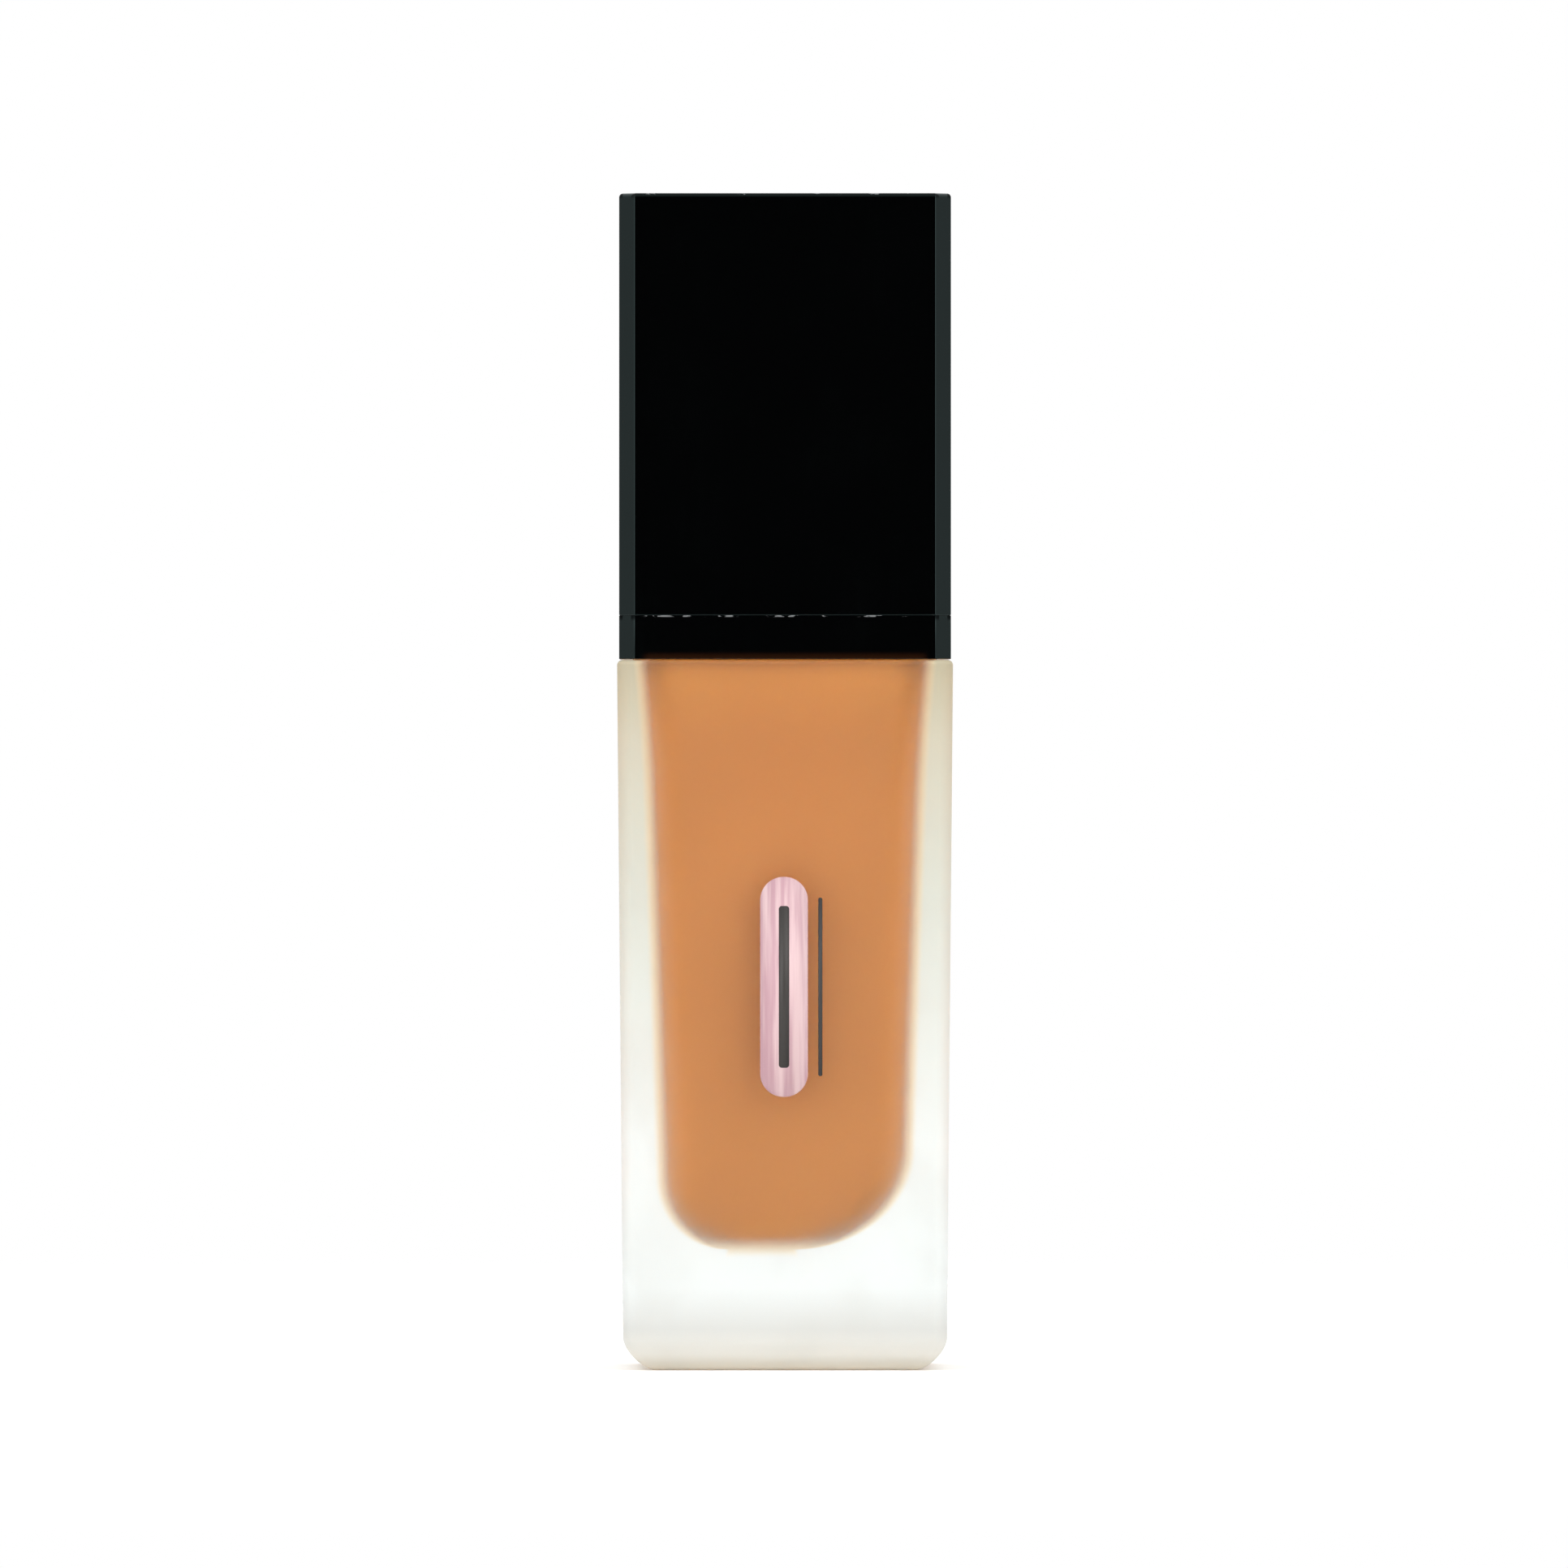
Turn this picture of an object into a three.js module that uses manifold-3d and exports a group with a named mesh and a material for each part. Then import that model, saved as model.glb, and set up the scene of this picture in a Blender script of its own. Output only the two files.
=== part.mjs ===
// A 30 ml foundation bottle: a square frosted glass bottle with a treatment pump, a square shoulder collar
// that the pump's closure clamps to the bottle, and a tall square overcap that pushes onto the collar.
// Millimetres, +Z up. The origin is the middle of the underside, and the front faces -Y. Pieces that rest on
// each other keep a small seat gap, and moving pieces keep a running gap.
import * as THREE from "three";
import { mergeVertices } from "three/addons/utils/BufferGeometryUtils.js";
import Module from "manifold-3d";

const wasm = await Module();
wasm.setup();

// ---- Driving dimensions -------------------------------------------------------------------------

const SEAT_GAP = 0.1; // between pieces that rest on each other
const OVERSHOOT = 1; // how far a cutter runs past the face that it cuts through

// Glass bottle
const GLASS_HEIGHT = 68.5; // table to shoulder
const GLASS_FOOT_HALF = 15.6; // half the width at the table, before the edge is rounded
const GLASS_TOP_HALF = 16.2; // half the width at the shoulder
const GLASS_CORNER = 1.4; // radius of the upright edges
const FOOT_ROUND = { left: 3.1, right: 2.2, depth: 2.7 }; // radius of the bottom edge on each side
const SHOULDER_ROUND = 0.9;
const LAND_HALF = 14.5; // the raised square land inside the collar
const LAND_HEIGHT = 1.4;
const PUNT_RADIUS = 10.5; // the shallow recess in the underside
const PUNT_DEPTH = 0.8;
const LABEL_RADIUS = 8.5; // the blank sticker in that recess
const LABEL_THICKNESS = 0.15;

// Cavity. Blown glass is never even: the right bottom corner is fuller than the left one.
const CAVITY_FLOOR = 12;
const CAVITY_TOP = 68.7;
const CAVITY_HALF = 11; // half the width if its walls ran straight down to the floor
const CAVITY_TAPER = 1 / 30; // how much each side gains for each millimetre of height
const CAVITY_FLARE = { from: 54, height: 13, gain: 0.85 }; // the walls curve outwards below the shoulder
const CAVITY_TOP_ROUND = 1.6;
const CAVITY_CORNER = 4; // radius in plan
const CAVITY_FOOT = { left: [6.5, 6.5], right: [11, 9.5], depth: [7.5, 7.5] }; // [inwards, upwards]
const FILL_GAP = 0.15; // between the fill and the glass

// Neck finish, the 20-400 type: one right-hand thread of 8 turns an inch
const NECK_HEIGHT = 10.8;
const NECK_RADIUS = 8.7;
const NECK_BORE = 6;
const THREAD_PITCH = 3.18;
const THREAD_TURNS = 1.25;
const THREAD_CREST = 9.75;
const THREAD_START = 5; // middle of the thread's lower end, above the shoulder
const THREAD_BASE = 1.3; // the ridge's width at its root
const THREAD_TIP = 0.7; // and at its crest

// Shoulder collar
const SQUARE_HALF = 16; // half the outer width of the collar and of the cap
const EDGE_CHAMFER = 1.5; // on the upright edges of both
const COLLAR_HEIGHT = 4.2;
const COLLAR_WALL = 1.3;
const STEP_INSET = 1.9; // the low step that keeps the cap's rim in line and light out of the seam
const STEP_HEIGHT = 0.6;
const UPSTAND_HEIGHT = 11.4; // the round wall that the cap grips
const UPSTAND_OUTER = 12.7;
const UPSTAND_INNER = 11.6;

// Screw closure
const CLOSURE_OUTER = 11.35;
const CLOSURE_INNER = 10.1;
const CLOSURE_DEPTH = 7.7; // below the neck's sealing face
const CLOSURE_WEB = [2.4, 3.9]; // the top web, above the sealing face
const CLOSURE_HOLE = 7;
const CLOSURE_THREAD_CREST = 9;
const THREAD_SEAT = 1.1; // how far the closure's ridge sits below the bottle's

// Pump, in heights above the neck's sealing face
const PUMP_BORE = 3.9;
const PUMP_BARREL = 4.8;
const BARREL_FLOOR = -20;
const BALL_RADIUS = 1.5;
const BALL_HEIGHT = -22.65;
const STEM_OUTER = 2.2;
const STEM_INNER = 1.2;
const STEM_FOOT = -3.25;
const STEM_TOP = 18;
const ROD_RADIUS = 1.15;
const ROD_FOOT = -14;
const POPPET = [-7.6, -6.7]; // the disc that the spring pushes up and the piston seals on
const SPRING = { foot: -18.35, top: -7.7, radius: 2.4, wire: 0.34, turns: 6.5 };
const TUBE_OUTER = 1.75;
const TUBE_INNER = 1.2;
const TUBE_LENGTH = 41;
const TUBE_TOP = -25.1;

// Actuator, in heights above its own skirt's rim
const ACTUATOR_RIM = 9; // the rim's height above the sealing face, pump up
const ACTUATOR_RADIUS = 6.5;
const ACTUATOR_HEIGHT = 16;
const SPOUT_HEIGHT = 12.2;
const SPOUT_REACH = 10.8; // from the axis to the tip

// Overcap
const CAP_GAP = 0.2; // between the cap's rim and the collar
const CAP_HEIGHT = 40.5;
const CAP_WALL = 1.6;
const CAP_TOP_ROUND = 0.55;
const LINER_OUTER = 14.1;
const LINER_INNER = 13.05;

// Facets round a full circle
const FINE = 40;
const MEDIUM = 28;
const SMALL = 18;

const SEALING_FACE = GLASS_HEIGHT + NECK_HEIGHT;
const COLLAR_BASE = GLASS_HEIGHT + SEAT_GAP;
const CAP_BASE = COLLAR_BASE + COLLAR_HEIGHT + CAP_GAP;

// ---- Materials ----------------------------------------------------------------------------------

const material = (color, roughness, metalness = 0) =>
  new THREE.MeshStandardMaterial({ color, roughness, metalness });

const FROSTED_GLASS = material(0xe9eae1, 0.55);
const FOUNDATION = material(0xcf8a54, 0.4);
const GLOSS_BLACK = material(0x050607, 0.12);
const SATIN_BLACK = material(0x17191b, 0.4);
const NATURAL_PLASTIC = material(0xe6e6df, 0.45);
const SEAL_FOAM = material(0xf1efe8, 0.8);
const SEAL_RUBBER = material(0x2a2b2c, 0.6);
const LABEL_FILM = material(0xf2f1ee, 0.35);
const STEEL = material(0xb9bcc0, 0.25, 1);
const CLEAR_GLASS = material(0xdfe6e4, 0.05);

// ---- Solids -------------------------------------------------------------------------------------

/** A closed geometry as a manifold-3d solid. */
function solid(geometry) {
  const bare = geometry.clone();
  bare.deleteAttribute("normal");
  bare.deleteAttribute("uv");
  const merged = mergeVertices(bare, 1e-4);
  const mesh = new wasm.Mesh({
    numProp: 3,
    vertProperties: merged.attributes.position.array,
    triVerts: new Uint32Array(merged.index.array),
  });
  return new wasm.Manifold(mesh);
}

/** A manifold-3d solid as a named mesh. */
function piece(name, shape, look) {
  const found = shape.getMesh();
  const geometry = new THREE.BufferGeometry()
    .setAttribute("position", new THREE.BufferAttribute(found.vertProperties, 3))
    .setIndex(new THREE.BufferAttribute(found.triVerts, 1));
  geometry.computeVertexNormals();
  const mesh = new THREE.Mesh(geometry, look);
  mesh.name = name;
  return mesh;
}

/** A profile of [radius, height] points, listed anticlockwise, turned about the Z axis. */
function turned(profile, facets, closes = true) {
  const points = profile.map(([radius, height]) => new THREE.Vector2(radius, height));
  if (closes) points.push(points[0].clone());
  return solid(new THREE.LatheGeometry(points, facets).rotateX(Math.PI / 2));
}

/** An upright cylinder between two heights. */
function rod(radius, low, high, facets = MEDIUM) {
  const cylinder = new THREE.CylinderGeometry(radius, radius, high - low, facets).rotateX(Math.PI / 2);
  return solid(cylinder.translate(0, 0, (low + high) / 2));
}

/** A box by its middle and its size. */
function block(middle, size) {
  return solid(new THREE.BoxGeometry(...size).translate(...middle));
}

/**
 * Closed rings with the same number of points, each anticlockwise seen from the end, joined into one solid: a
 * regular polygon extruded with a step for each ring, its points then moved to the rings.
 */
function loft(rings) {
  const corners = rings[0].length;
  const levels = rings.length - 1;
  const turn = (2 * Math.PI) / corners;
  const polygon = new THREE.Shape(
    Array.from({ length: corners }, (_, i) => new THREE.Vector2(Math.cos(i * turn), Math.sin(i * turn))),
  );
  const geometry = new THREE.ExtrudeGeometry(polygon, { depth: levels, steps: levels, bevelEnabled: false });
  const position = geometry.attributes.position;
  for (let i = 0; i < position.count; i++) {
    const corner = Math.round(Math.atan2(position.getY(i), position.getX(i)) / turn);
    const ring = rings[Math.round(position.getZ(i))];
    const point = ring[(corner + corners) % corners];
    position.setXYZ(i, point.x, point.y, point.z);
  }
  return solid(geometry);
}

/** A level ring: a rectangle with rounded corners, by its four sides. */
function roundedRing({ left, right, front, back, radius, z, steps = 4 }) {
  const centres = [
    [right - radius, back - radius],
    [left + radius, back - radius],
    [left + radius, front + radius],
    [right - radius, front + radius],
  ];
  return centres.flatMap(([x, y], corner) =>
    Array.from({ length: steps + 1 }, (_, i) => {
      const angle = ((corner + i / steps) * Math.PI) / 2;
      return new THREE.Vector3(x + radius * Math.cos(angle), y + radius * Math.sin(angle), z);
    }),
  );
}

/** A level ring: a square with rounded corners. */
function squareRing(half, radius, z, steps) {
  return roundedRing({ left: -half, right: half, front: -half, back: half, radius, z, steps });
}

/** A level ring: a square with its corners cut at 45 degrees, offset inwards by inset. */
function chamferedRing(half, chamfer, inset, z) {
  const side = half - inset;
  const flat = side - (chamfer - (2 - Math.SQRT2) * inset);
  const corners = [
    [side, flat],
    [flat, side],
    [-flat, side],
    [-side, flat],
    [-side, -flat],
    [-flat, -side],
    [flat, -side],
    [side, -flat],
  ];
  return corners.map(([x, y]) => new THREE.Vector3(x, y, z));
}

/** A helical ridge about the Z axis, from its root radius to its crest radius, that fades in and out. */
function threadRidge({ root, crest, start, turns }) {
  const stepsPerTurn = 32;
  const steps = Math.round(turns * stepsPerTurn);
  const fade = 4; // steps over which an end rises to its full height
  const rings = Array.from({ length: steps + 1 }, (_, i) => {
    const angle = (i / stepsPerTurn) * 2 * Math.PI;
    const height = start + (i / stepsPerTurn) * THREAD_PITCH;
    const rise = Math.min(1, (Math.min(i, steps - i) + 0.5) / fade);
    const tip = root + (crest - root) * rise;
    const outline = [
      [root, -THREAD_BASE / 2],
      [root, THREAD_BASE / 2],
      [tip, THREAD_TIP / 2],
      [tip, -THREAD_TIP / 2],
    ];
    if (crest < root) outline.reverse();
    const [x, y] = [Math.cos(angle), Math.sin(angle)];
    return outline.map(([radius, across]) => new THREE.Vector3(radius * x, radius * y, height + across));
  });
  return loft(rings);
}

// ---- Glass bottle and its fill ------------------------------------------------------------------

/** Half the width of the glass at a height. */
function glassHalf(z) {
  return GLASS_FOOT_HALF + ((GLASS_TOP_HALF - GLASS_FOOT_HALF) * z) / GLASS_HEIGHT;
}

/** How far a rounded bottom edge stands in from the wall at a height above its floor. */
function edgeInset([inwards, upwards], height) {
  const below = Math.max(0, 1 - height / upwards);
  return inwards * (1 - Math.sqrt(1 - below * below));
}

/** The outside of the glass at a height below the shoulder's round. */
function glassRing(z) {
  const half = glassHalf(z);
  const { left, right, depth } = FOOT_ROUND;
  const deep = half - edgeInset([depth, depth], z);
  return roundedRing({
    left: -half + edgeInset([left, left], z),
    right: half - edgeInset([right, right], z),
    front: -deep,
    back: deep,
    radius: GLASS_CORNER - edgeInset([1.2, depth], z),
    z,
  });
}

/** The outside of the glass below its neck, with the raised land that the collar fits over. */
function glassBlock() {
  const footHeights = [0, 0.12, 0.45, 1, 1.8, FOOT_ROUND.left];
  const steps = 4;
  const shoulderRings = Array.from({ length: steps + 1 }, (_, i) => {
    const angle = ((i / steps) * Math.PI) / 2;
    const inset = SHOULDER_ROUND * (1 - Math.cos(angle));
    const z = GLASS_HEIGHT - SHOULDER_ROUND * (1 - Math.sin(angle));
    return squareRing(glassHalf(z) - inset, GLASS_CORNER - inset * 0.45, z);
  });
  const landBevel = 0.3;
  const landRings = [
    squareRing(LAND_HALF, GLASS_CORNER, GLASS_HEIGHT - OVERSHOOT),
    squareRing(LAND_HALF, GLASS_CORNER, GLASS_HEIGHT + LAND_HEIGHT - landBevel),
    squareRing(LAND_HALF - landBevel, GLASS_CORNER - landBevel / 2, GLASS_HEIGHT + LAND_HEIGHT),
  ];
  return loft([...footHeights.map(glassRing), ...shoulderRings]).add(loft(landRings));
}

/** Half the width of the cavity at a height, above its rounded floor. */
function cavityHalf(z) {
  const flared = Math.max(0, (z - CAVITY_FLARE.from) / CAVITY_FLARE.height);
  return CAVITY_HALF + z * CAVITY_TAPER + CAVITY_FLARE.gain * flared ** 2;
}

/** The cavity, taken in all round by a gap. */
function cavityShape(gap) {
  const heights = [0, 0.25, 0.8, 1.7, 3, 4.6, 6.4, 9.5, 42, 47, 51].map((h) => CAVITY_FLOOR + h);
  const level = (z, inset = 0) => {
    const half = cavityHalf(z) - gap - inset;
    const left = -half + edgeInset(CAVITY_FOOT.left, z - CAVITY_FLOOR);
    const right = half - edgeInset(CAVITY_FOOT.right, z - CAVITY_FLOOR);
    const deep = half - edgeInset(CAVITY_FOOT.depth, z - CAVITY_FLOOR);
    const radius = Math.min(CAVITY_CORNER, (right - left) / 2.4, deep / 1.2);
    return { left, right, front: -deep, back: deep, radius, z };
  };
  const steps = 3;
  const topRings = Array.from({ length: steps + 1 }, (_, i) => {
    const angle = ((i / steps) * Math.PI) / 2;
    const z = CAVITY_TOP - CAVITY_TOP_ROUND * (1 - Math.sin(angle));
    const inset = CAVITY_TOP_ROUND * (1 - Math.cos(angle));
    return roundedRing({ ...level(z, inset), z: z - gap });
  });
  const rings = [...heights.map((z) => roundedRing(level(z))), ...topRings];
  rings[0].forEach((point) => (point.z += gap));
  return loft(rings);
}

function glassBottle() {
  const punt = turned(
    [
      [0, -OVERSHOOT],
      [PUNT_RADIUS, -OVERSHOOT],
      [PUNT_RADIUS, 0],
      [PUNT_RADIUS - 1.2, PUNT_DEPTH],
      [0, PUNT_DEPTH],
    ],
    FINE,
    false,
  );
  const lip = 0.5;
  const neck = turned(
    [
      [0, CAVITY_TOP - OVERSHOOT],
      [NECK_RADIUS, CAVITY_TOP - OVERSHOOT],
      [NECK_RADIUS, SEALING_FACE - lip],
      [NECK_RADIUS - lip, SEALING_FACE],
      [0, SEALING_FACE],
    ],
    FINE,
    false,
  );
  const ridge = threadRidge({
    root: NECK_RADIUS - 0.3,
    crest: THREAD_CREST,
    start: GLASS_HEIGHT + THREAD_START,
    turns: THREAD_TURNS,
  });
  const bore = rod(NECK_BORE, CAVITY_TOP - OVERSHOOT, SEALING_FACE + OVERSHOOT, FINE);
  return glassBlock().subtract(punt).add(neck).add(ridge).subtract(cavityShape(0)).subtract(bore);
}

function baseLabel() {
  const top = PUNT_DEPTH - SEAT_GAP;
  return rod(LABEL_RADIUS, top - LABEL_THICKNESS, top, FINE);
}

/** The liquid, with room for the pump to be drawn out upwards. */
function foundationFill() {
  const clearance = 0.3;
  const top = CAVITY_TOP + OVERSHOOT;
  const tubeFoot = SEALING_FACE + TUBE_TOP - TUBE_LENGTH;
  const socketFoot = SEALING_FACE - 31.5;
  const barrelFoot = SEALING_FACE + BARREL_FLOOR - 3;
  return cavityShape(FILL_GAP)
    .subtract(rod(TUBE_OUTER + clearance, tubeFoot - clearance, top, SMALL))
    .subtract(rod(3 + clearance, socketFoot - clearance, top, SMALL))
    .subtract(rod(PUMP_BARREL + clearance, barrelFoot - clearance, top));
}

// ---- Shoulder collar, from its underside up -----------------------------------------------------

function shoulderCollar() {
  const bevel = 0.25;
  const outside = loft([
    chamferedRing(SQUARE_HALF, EDGE_CHAMFER, bevel / 2, 0),
    chamferedRing(SQUARE_HALF, EDGE_CHAMFER, 0, bevel / 2),
    chamferedRing(SQUARE_HALF, EDGE_CHAMFER, 0, COLLAR_HEIGHT - bevel),
    chamferedRing(SQUARE_HALF, EDGE_CHAMFER, bevel, COLLAR_HEIGHT),
  ]);
  const step = loft([
    chamferedRing(SQUARE_HALF, EDGE_CHAMFER, STEP_INSET, COLLAR_HEIGHT - 0.5),
    chamferedRing(SQUARE_HALF, EDGE_CHAMFER, STEP_INSET, COLLAR_HEIGHT + STEP_HEIGHT - bevel),
    chamferedRing(SQUARE_HALF, EDGE_CHAMFER, STEP_INSET + bevel, COLLAR_HEIGHT + STEP_HEIGHT),
  ]);
  const hollow = loft([
    chamferedRing(SQUARE_HALF, EDGE_CHAMFER, COLLAR_WALL, -OVERSHOOT),
    chamferedRing(SQUARE_HALF, EDGE_CHAMFER, COLLAR_WALL, COLLAR_HEIGHT - COLLAR_WALL),
  ]);
  const lift = LAND_HEIGHT + 0.4; // the inner walls stand clear of the glass land
  const web = lift + 1.1;
  const bead = { height: UPSTAND_HEIGHT - 1.6, radius: UPSTAND_OUTER + 0.25, half: 0.5 };
  const upstand = turned(
    [
      [NECK_RADIUS + 1.25, lift],
      [UPSTAND_OUTER, lift],
      [UPSTAND_OUTER, bead.height - bead.half],
      [bead.radius, bead.height - 0.1],
      [bead.radius, bead.height + 0.1],
      [UPSTAND_OUTER, bead.height + bead.half],
      [UPSTAND_OUTER, UPSTAND_HEIGHT - 0.4],
      [UPSTAND_OUTER - 0.3, UPSTAND_HEIGHT],
      [UPSTAND_INNER, UPSTAND_HEIGHT],
      [UPSTAND_INNER, web],
      [NECK_RADIUS + 1.25, web],
    ],
    FINE,
  );
  const ribLength = SQUARE_HALF - COLLAR_WALL - UPSTAND_OUTER + 0.8;
  const ribMiddle = UPSTAND_OUTER - 0.4 + ribLength / 2;
  const ribHeight = COLLAR_HEIGHT - COLLAR_WALL - lift + 0.2;
  let ribs = upstand;
  for (let side = 0; side < 4; side++) {
    for (const across of [-5, 5]) {
      const rib = block([ribMiddle, across, lift + ribHeight / 2], [ribLength, 0.9, ribHeight]);
      ribs = ribs.add(rib.rotate([0, 0, side * 90]));
    }
  }
  const hole = rod(UPSTAND_INNER, -OVERSHOOT, COLLAR_HEIGHT + OVERSHOOT, FINE);
  return outside.add(step).subtract(hollow).subtract(hole).add(ribs);
}

// ---- Pump and closure, from the neck's sealing face up ------------------------------------------

function screwClosure() {
  const ribs = 40;
  const ribDepth = 0.3;
  const outline = new THREE.Shape(
    Array.from({ length: ribs * 2 }, (_, i) => {
      const radius = CLOSURE_OUTER - (i % 2) * ribDepth;
      const angle = (i / (ribs * 2)) * 2 * Math.PI;
      return new THREE.Vector2(radius * Math.cos(angle), radius * Math.sin(angle));
    }),
  );
  const [webLow, webTop] = CLOSURE_WEB;
  const bevel = 0.4;
  const knurl = solid(
    new THREE.ExtrudeGeometry(outline, { depth: CLOSURE_DEPTH + webTop - bevel, bevelEnabled: false }),
  ).translate([0, 0, -CLOSURE_DEPTH]);
  const crown = turned(
    [
      [0, webLow],
      [CLOSURE_OUTER - ribDepth, webLow],
      [CLOSURE_OUTER - ribDepth, webTop - bevel],
      [CLOSURE_OUTER - ribDepth - bevel, webTop],
      [0, webTop],
    ],
    FINE,
    false,
  );
  const ridge = threadRidge({
    root: CLOSURE_INNER + 0.3,
    crest: CLOSURE_THREAD_CREST,
    start: THREAD_START - NECK_HEIGHT - THREAD_SEAT,
    turns: 1.1,
  });
  return knurl
    .add(crown)
    .subtract(rod(CLOSURE_INNER, -CLOSURE_DEPTH - OVERSHOOT, webLow, FINE))
    .subtract(rod(CLOSURE_HOLE, webLow - OVERSHOOT, webTop + OVERSHOOT))
    .add(ridge);
}

function neckGasket() {
  return turned(
    [
      [5.8, SEAT_GAP],
      [8.8, SEAT_GAP],
      [8.8, 1],
      [5.8, 1],
    ],
    MEDIUM,
  );
}

function pumpHousing() {
  const body = turned(
    [
      [TUBE_OUTER + 0.1, -31.5],
      [2.8, -31.5],
      [3, -31.2],
      [3, BARREL_FLOOR - 3],
      [PUMP_BARREL, BARREL_FLOOR - 1],
      [PUMP_BARREL, -2.6],
      [5.5, -1.9],
      [5.5, 1.1],
      [9, 1.1],
      [9, 2.3],
      [4.45, 2.3],
      [4.45, -2],
      [PUMP_BORE, -2.4],
      [PUMP_BORE, BARREL_FLOOR],
      [1.9, BARREL_FLOOR],
      [1.9, -22.8],
      [0.9, -24],
      [0.9, -25],
      [TUBE_OUTER + 0.1, -25],
    ],
    MEDIUM,
  );
  const vent = new THREE.CylinderGeometry(0.4, 0.4, 4, 12).rotateZ(Math.PI / 2);
  return body.subtract(solid(vent.translate(5.6, 0, -1.7)));
}

function dipTube() {
  const foot = TUBE_TOP - TUBE_LENGTH;
  const tube = turned(
    [
      [TUBE_INNER, foot],
      [TUBE_OUTER, foot],
      [TUBE_OUTER, TUBE_TOP],
      [TUBE_INNER, TUBE_TOP],
    ],
    SMALL,
  );
  const slant = solid(
    new THREE.BoxGeometry(12, 12, 4)
      .translate(0, 0, -2)
      .rotateY(Math.PI / 5)
      .translate(0, 0, foot + TUBE_OUTER * 0.75),
  );
  return tube.subtract(slant);
}

function ballCage() {
  const plate = turned(
    [
      [1, -19.9],
      [PUMP_BORE - 0.15, -19.9],
      [PUMP_BORE - 0.15, -18.45],
      [1.9, -18.45],
      [1.9, -17.7],
      [1.4, -17.7],
      [1.4, -18.6],
      [1, -18.6],
    ],
    SMALL,
  );
  const slot = block([0, 0, -19], [3.2, 0.7, 4]);
  return plate.subtract(slot).subtract(slot.rotate([0, 0, 90]));
}

/** The centre line of a spring with a closed turn at each end. */
class SpringLine extends THREE.Curve {
  getPoint(share, target = new THREE.Vector3()) {
    const { foot, top, radius, wire, turns } = SPRING;
    const angle = share * turns * 2 * Math.PI;
    const closed = 0.9 / turns;
    const open = THREE.MathUtils.clamp((share - closed) / (1 - 2 * closed), 0, 1);
    const ends = (Math.min(share, closed) + Math.max(0, share - 1 + closed)) / closed;
    const endRise = 2 * wire + 0.06;
    const middle = top - foot - 2 * wire - 2 * endRise;
    const height = foot + wire + ends * endRise + open * middle;
    return target.set(radius * Math.cos(angle), radius * Math.sin(angle), height);
  }
}

function returnSpring() {
  const wire = new THREE.Shape().absarc(0, 0, SPRING.wire, 0, 2 * Math.PI);
  const steps = SPRING.turns * 14;
  const sweep = { extrudePath: new SpringLine(), steps, curveSegments: 3, bevelEnabled: false };
  return solid(new THREE.ExtrudeGeometry(wire, sweep));
}

function pistonRod() {
  const [discLow, discTop] = POPPET;
  const spigot = STEM_INNER - 0.1;
  const body = turned(
    [
      [0, ROD_FOOT],
      [ROD_RADIUS - 0.3, ROD_FOOT],
      [ROD_RADIUS, ROD_FOOT + 0.3],
      [ROD_RADIUS, discLow],
      [2.9, discLow],
      [2.9, discTop - 0.4],
      [2.2, discTop],
      [spigot, discTop],
      [spigot, 0],
      [0, 0],
    ],
    SMALL,
    false,
  );
  const flat = block([0, 1.65, (discTop + OVERSHOOT) / 2], [4, 2, OVERSHOOT - discTop]);
  return body.subtract(flat).subtract(flat.mirror([0, 1, 0]));
}

function piston() {
  const lip = PUMP_BORE - 0.07;
  return turned(
    [
      [1.5, -6.6],
      [2.4, -6.6],
      [2.4, -5.6],
      [3.2, -5.6],
      [3.45, -7.1],
      [lip, -7.1],
      [3.6, -6.2],
      [3.6, -3.6],
      [lip, -2.6],
      [3.45, -2.6],
      [3.2, -4.9],
      [2.4, -4.9],
      [2.4, -4],
      [1.5, -4],
    ],
    MEDIUM,
  );
}

function stem() {
  const flange = 3;
  return turned(
    [
      [STEM_INNER, STEM_FOOT],
      [flange, STEM_FOOT],
      [flange, -2.1],
      [STEM_OUTER, -2.1],
      [STEM_OUTER, STEM_TOP - 0.3],
      [STEM_OUTER - 0.2, STEM_TOP],
      [STEM_INNER, STEM_TOP],
    ],
    SMALL,
  );
}

function stemSeal() {
  return turned(
    [
      [STEM_OUTER + 0.05, -1.8],
      [3.2, -1.8],
      [3.2, -0.7],
      [STEM_OUTER + 0.05, -1],
    ],
    SMALL,
  );
}

/** The plug that holds the stem in the housing, with a counterbore for the seal. */
function stemGuide() {
  const hole = STEM_OUTER + 0.15;
  return turned(
    [
      [hole, -0.6],
      [3.35, -0.6],
      [3.35, -1.9],
      [4.3, -1.9],
      [4.3, 2.4],
      [6.6, 2.4],
      [6.6, 3.4],
      [4, 3.4],
      [4, 6.3],
      [3.7, 6.6],
      [hole, 6.6],
    ],
    MEDIUM,
  );
}

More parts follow.
